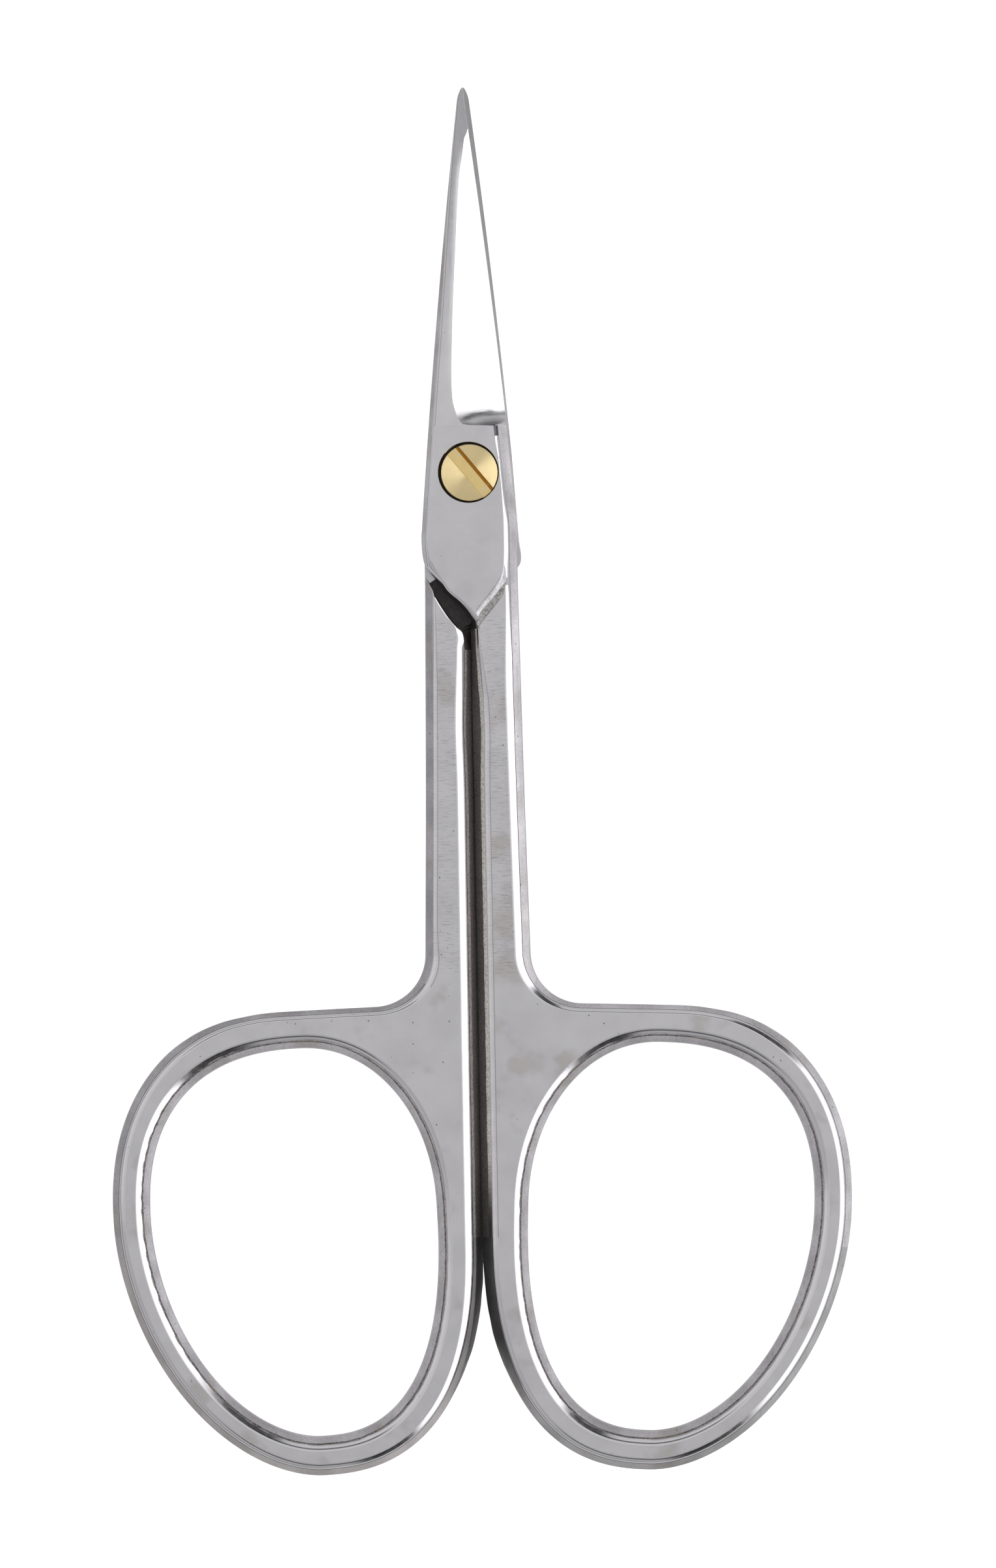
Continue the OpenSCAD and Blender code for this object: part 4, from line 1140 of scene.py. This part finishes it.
def add_screw():
    """The screw: a turned body with thread grooves, and a driver slot with one sloping wall."""
    head_top = LIFT - HEAD_SINK
    under = head_top - HEAD_T
    end = -(LIFT - END_SINK)
    r, head_r = THREAD_D / 2, HEAD_D / 2
    first = end + THREAD_CHAMFER
    profile = [(0.0, end), (r - THREAD_CHAMFER, end), (r, first)]
    for k in range(int((-HALF_LEAF - first - THREAD_PITCH) / THREAD_PITCH)):
        for share, depth in ((0.1, 0), (0.4, 1), (0.6, 1), (0.9, 0)):
            profile.append((r - THREAD_DEPTH_SHARE * THREAD_PITCH * depth,
                            first + (k + share) * THREAD_PITCH))
    profile += [(r, -HALF_LEAF), (BEARING_D / 2, -HALF_LEAF), (BEARING_D / 2, under),
                (head_r, under), (head_r, head_top - HEAD_CHAMFER)]
    for a in map(math.radians, (30, 60, 90)):
        profile.append((head_r - HEAD_CHAMFER * (1 - math.cos(a)),
                        head_top - HEAD_CHAMFER * (1 - math.sin(a))))
    profile.append((0.0, head_top))
    shell = Shell()
    rows = [shell.row(circle(q, z, SCREW_COLUMNS)) if q > 0 else [shell.add(0, 0, z)] * SCREW_COLUMNS
            for q, z in profile]
    for a, b in zip(rows, rows[1:]):
        shell.strip(a, b, "body", closed=True)
    turned = closed_mesh("pivot_screw_turned", shell.points, shell.faces)
    screw = add_object("pivot_screw_turned", turned)

    high = SLOT_DEPTH + CUTTER_RISE
    a, b = -SLOT_W / 2, SLOT_W / 2
    cross = [(a, 0), (b, 0), (b + SLOT_SLOPE * high / SLOT_DEPTH, high),
             (a - SLOT_LEAN * high / SLOT_DEPTH, high)]
    c, s = math.cos(math.radians(-SLOT_ANGLE)), math.sin(math.radians(-SLOT_ANGLE))
    points = [(reach * c - v * s, reach * s + v * c, head_top - SLOT_DEPTH + z)
              for reach in (-HEAD_D, HEAD_D) for v, z in cross]
    faces = [(0, 1, 2, 3), (4, 7, 6, 5), (0, 4, 5, 1), (1, 5, 6, 2), (2, 6, 7, 3), (3, 7, 4, 0)]
    cutter = add_object("slot_shape", closed_mesh("slot_shape", points, faces))
    cut = screw.modifiers.new("slot", "BOOLEAN")
    cut.operation, cut.object, cut.solver = "DIFFERENCE", cutter, "EXACT"
    done = bpy.data.meshes.new_from_object(screw.evaluated_get(bpy.context.evaluated_depsgraph_get()))
    screw.modifiers.clear()
    screw.data = done
    bpy.data.objects.remove(cutter)
    done.materials.clear()
    for mat in BRASSES:
        done.materials.append(mat)
    floor_z = (head_top - SLOT_DEPTH + LIFT) * MM
    top_z = (head_top + LIFT) * MM
    for poly in done.polygons:
        x, y, z = poly.center
        inside_rim = math.hypot(x, y - PIVOT_Y * MM) / MM < head_r - HEAD_CHAMFER - RIM_MARGIN
        on_floor = abs(z - floor_z) < 2 * NEAR and poly.normal.z > 0.9
        on_wall = floor_z < z < top_z - NEAR and inside_rim
        poly.material_index = 1 if on_floor else 2 if on_wall else 0
    done.shade_smooth()
    done.set_sharp_from_angle(angle=math.radians(SLOT_SHARP_ANGLE))
    screw.modifiers.new("even_flats", "WEIGHTED_NORMAL").keep_sharp = True
    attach(screw, "screw")
    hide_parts("pivot_screw")


FLOOR_REACH = 3000
FLOOR_DROP = 0.05  # just clear of the flats that lie on it
FLOOR_GREY = 0.2
FLOOR_GLOW = 0.5  # how bright the floor is in the steel, where the eye sees 1


def add_floor():
    mesh = bpy.data.meshes.new("floor")
    mesh.from_pydata([(x * FLOOR_REACH * MM, y * FLOOR_REACH * MM, -FLOOR_DROP * MM)
                      for x, y in ((-1, -1), (1, -1), (1, 1), (-1, 1))], [], [(0, 1, 2, 3)])
    mat = bpy.data.materials.new("pale_paper")
    n = Nodes(mat)
    glow = n.get("LightPath", "Is Camera Ray").ramp(0.0, 1.0, FLOOR_GLOW, 1.0)
    paper = n.get("BsdfPrincipled", 0, {"Base Color": (*[FLOOR_GREY] * 3, 1), "Roughness": 1.0,
                  "Specular IOR Level": 0.0, "Emission Color": (1, 1, 1, 1), "Emission Strength": glow})
    n.add("OutputMaterial", {"Surface": paper})
    mesh.materials.append(mat)
    floor = add_object("floor", mesh)


SKY = 0.76  # the grey overhead
SKY_LEFT = 0.08  # and what it gains at the left and loses near the floor there
SKY_LOW = 0.52
SKY_SOUTH = 0.68  # its share towards the bows
LINE_DARK, CARD_DARK = 0.8, 0.9
BOX_BRIGHT = 1.9
BOX_TURN = -5.0


def add_light():
    """Soft studio surroundings: grey overhead, a wide white softbox at the right, dark cards."""
    world = bpy.data.worlds.new("studio")
    bpy.context.scene.world = world
    n = Nodes(world)
    x, y, z = n.parts(n.get("TexCoord", "Generated"))
    degrees = 180 / math.pi
    polar = n.math("ARCCOSINE", z) * degrees
    away = abs(n.math("ARCTAN2", y, x) * degrees - BOX_TURN)
    box = away.ramp(38, 46, 1, 0) * polar.band(10, 36, 112, 122)
    card = away.band(42, 50, 70, 78) * polar.band(26, 40, 88, 98)
    line = abs(y / n.math("SQRT", x * x + y * y)).ramp(0.72, 0.85) * polar.band(30, 38, 50, 58)
    left = x.ramp(-0.1, -0.5) * polar.band(44, 58, 72, 84)
    low = x.ramp(0.3, -0.3) * polar.ramp(76, 90)
    value = (SKY + left * SKY_LEFT - low * SKY_LOW) * y.ramp(-0.066, -0.044, SKY_SOUTH, 1.0)
    value = value * (1.0 - line * LINE_DARK) * (1.0 - card * CARD_DARK)
    value = value * (1.0 - box) + box * BOX_BRIGHT
    seen = n.get("LightPath", "Is Camera Ray")
    value = value * (1.0 - seen) + seen
    back = n.get("Background", 0, {"Strength": value, "Color": (1, 0.995, 1.0, 1)})
    n.add("OutputWorld", {"Surface": back})


PHOTO_SCALE = 23.67  # photograph pixels per millimetre
PHOTO_HEIGHT = 2408
PHOTO_ROLL = -1.02
VIEW_CENTRE = (1.495, -20.224)
LENS = 250.0
SENSOR = 36.0


def add_camera():
    data = bpy.data.cameras.new("camera")
    data.sensor_width, data.lens = SENSOR, LENS
    data.clip_start, data.clip_end = 0.01, 10.0
    camera = add_object("camera", data)
    distance = LENS / SENSOR * PHOTO_HEIGHT / PHOTO_SCALE
    camera.location = (VIEW_CENTRE[0] * MM, (VIEW_CENTRE[1] + PIVOT_Y) * MM,
                       (distance + LIFT + HANDLE_H) * MM)
    camera.rotation_euler = (0, 0, math.radians(PHOTO_ROLL))
    bpy.context.scene.camera = camera


add_arm("front_arm_steel", 1, True, "front_half", "front_arm")
add_arm("rear_arm_steel", -1, False, "rear_half", "rear_arm")
add_screw()
add_floor()
add_light()
add_camera()
bpy.context.scene.view_settings.view_transform = "Standard"
bpy.context.scene.view_settings.look = "None"
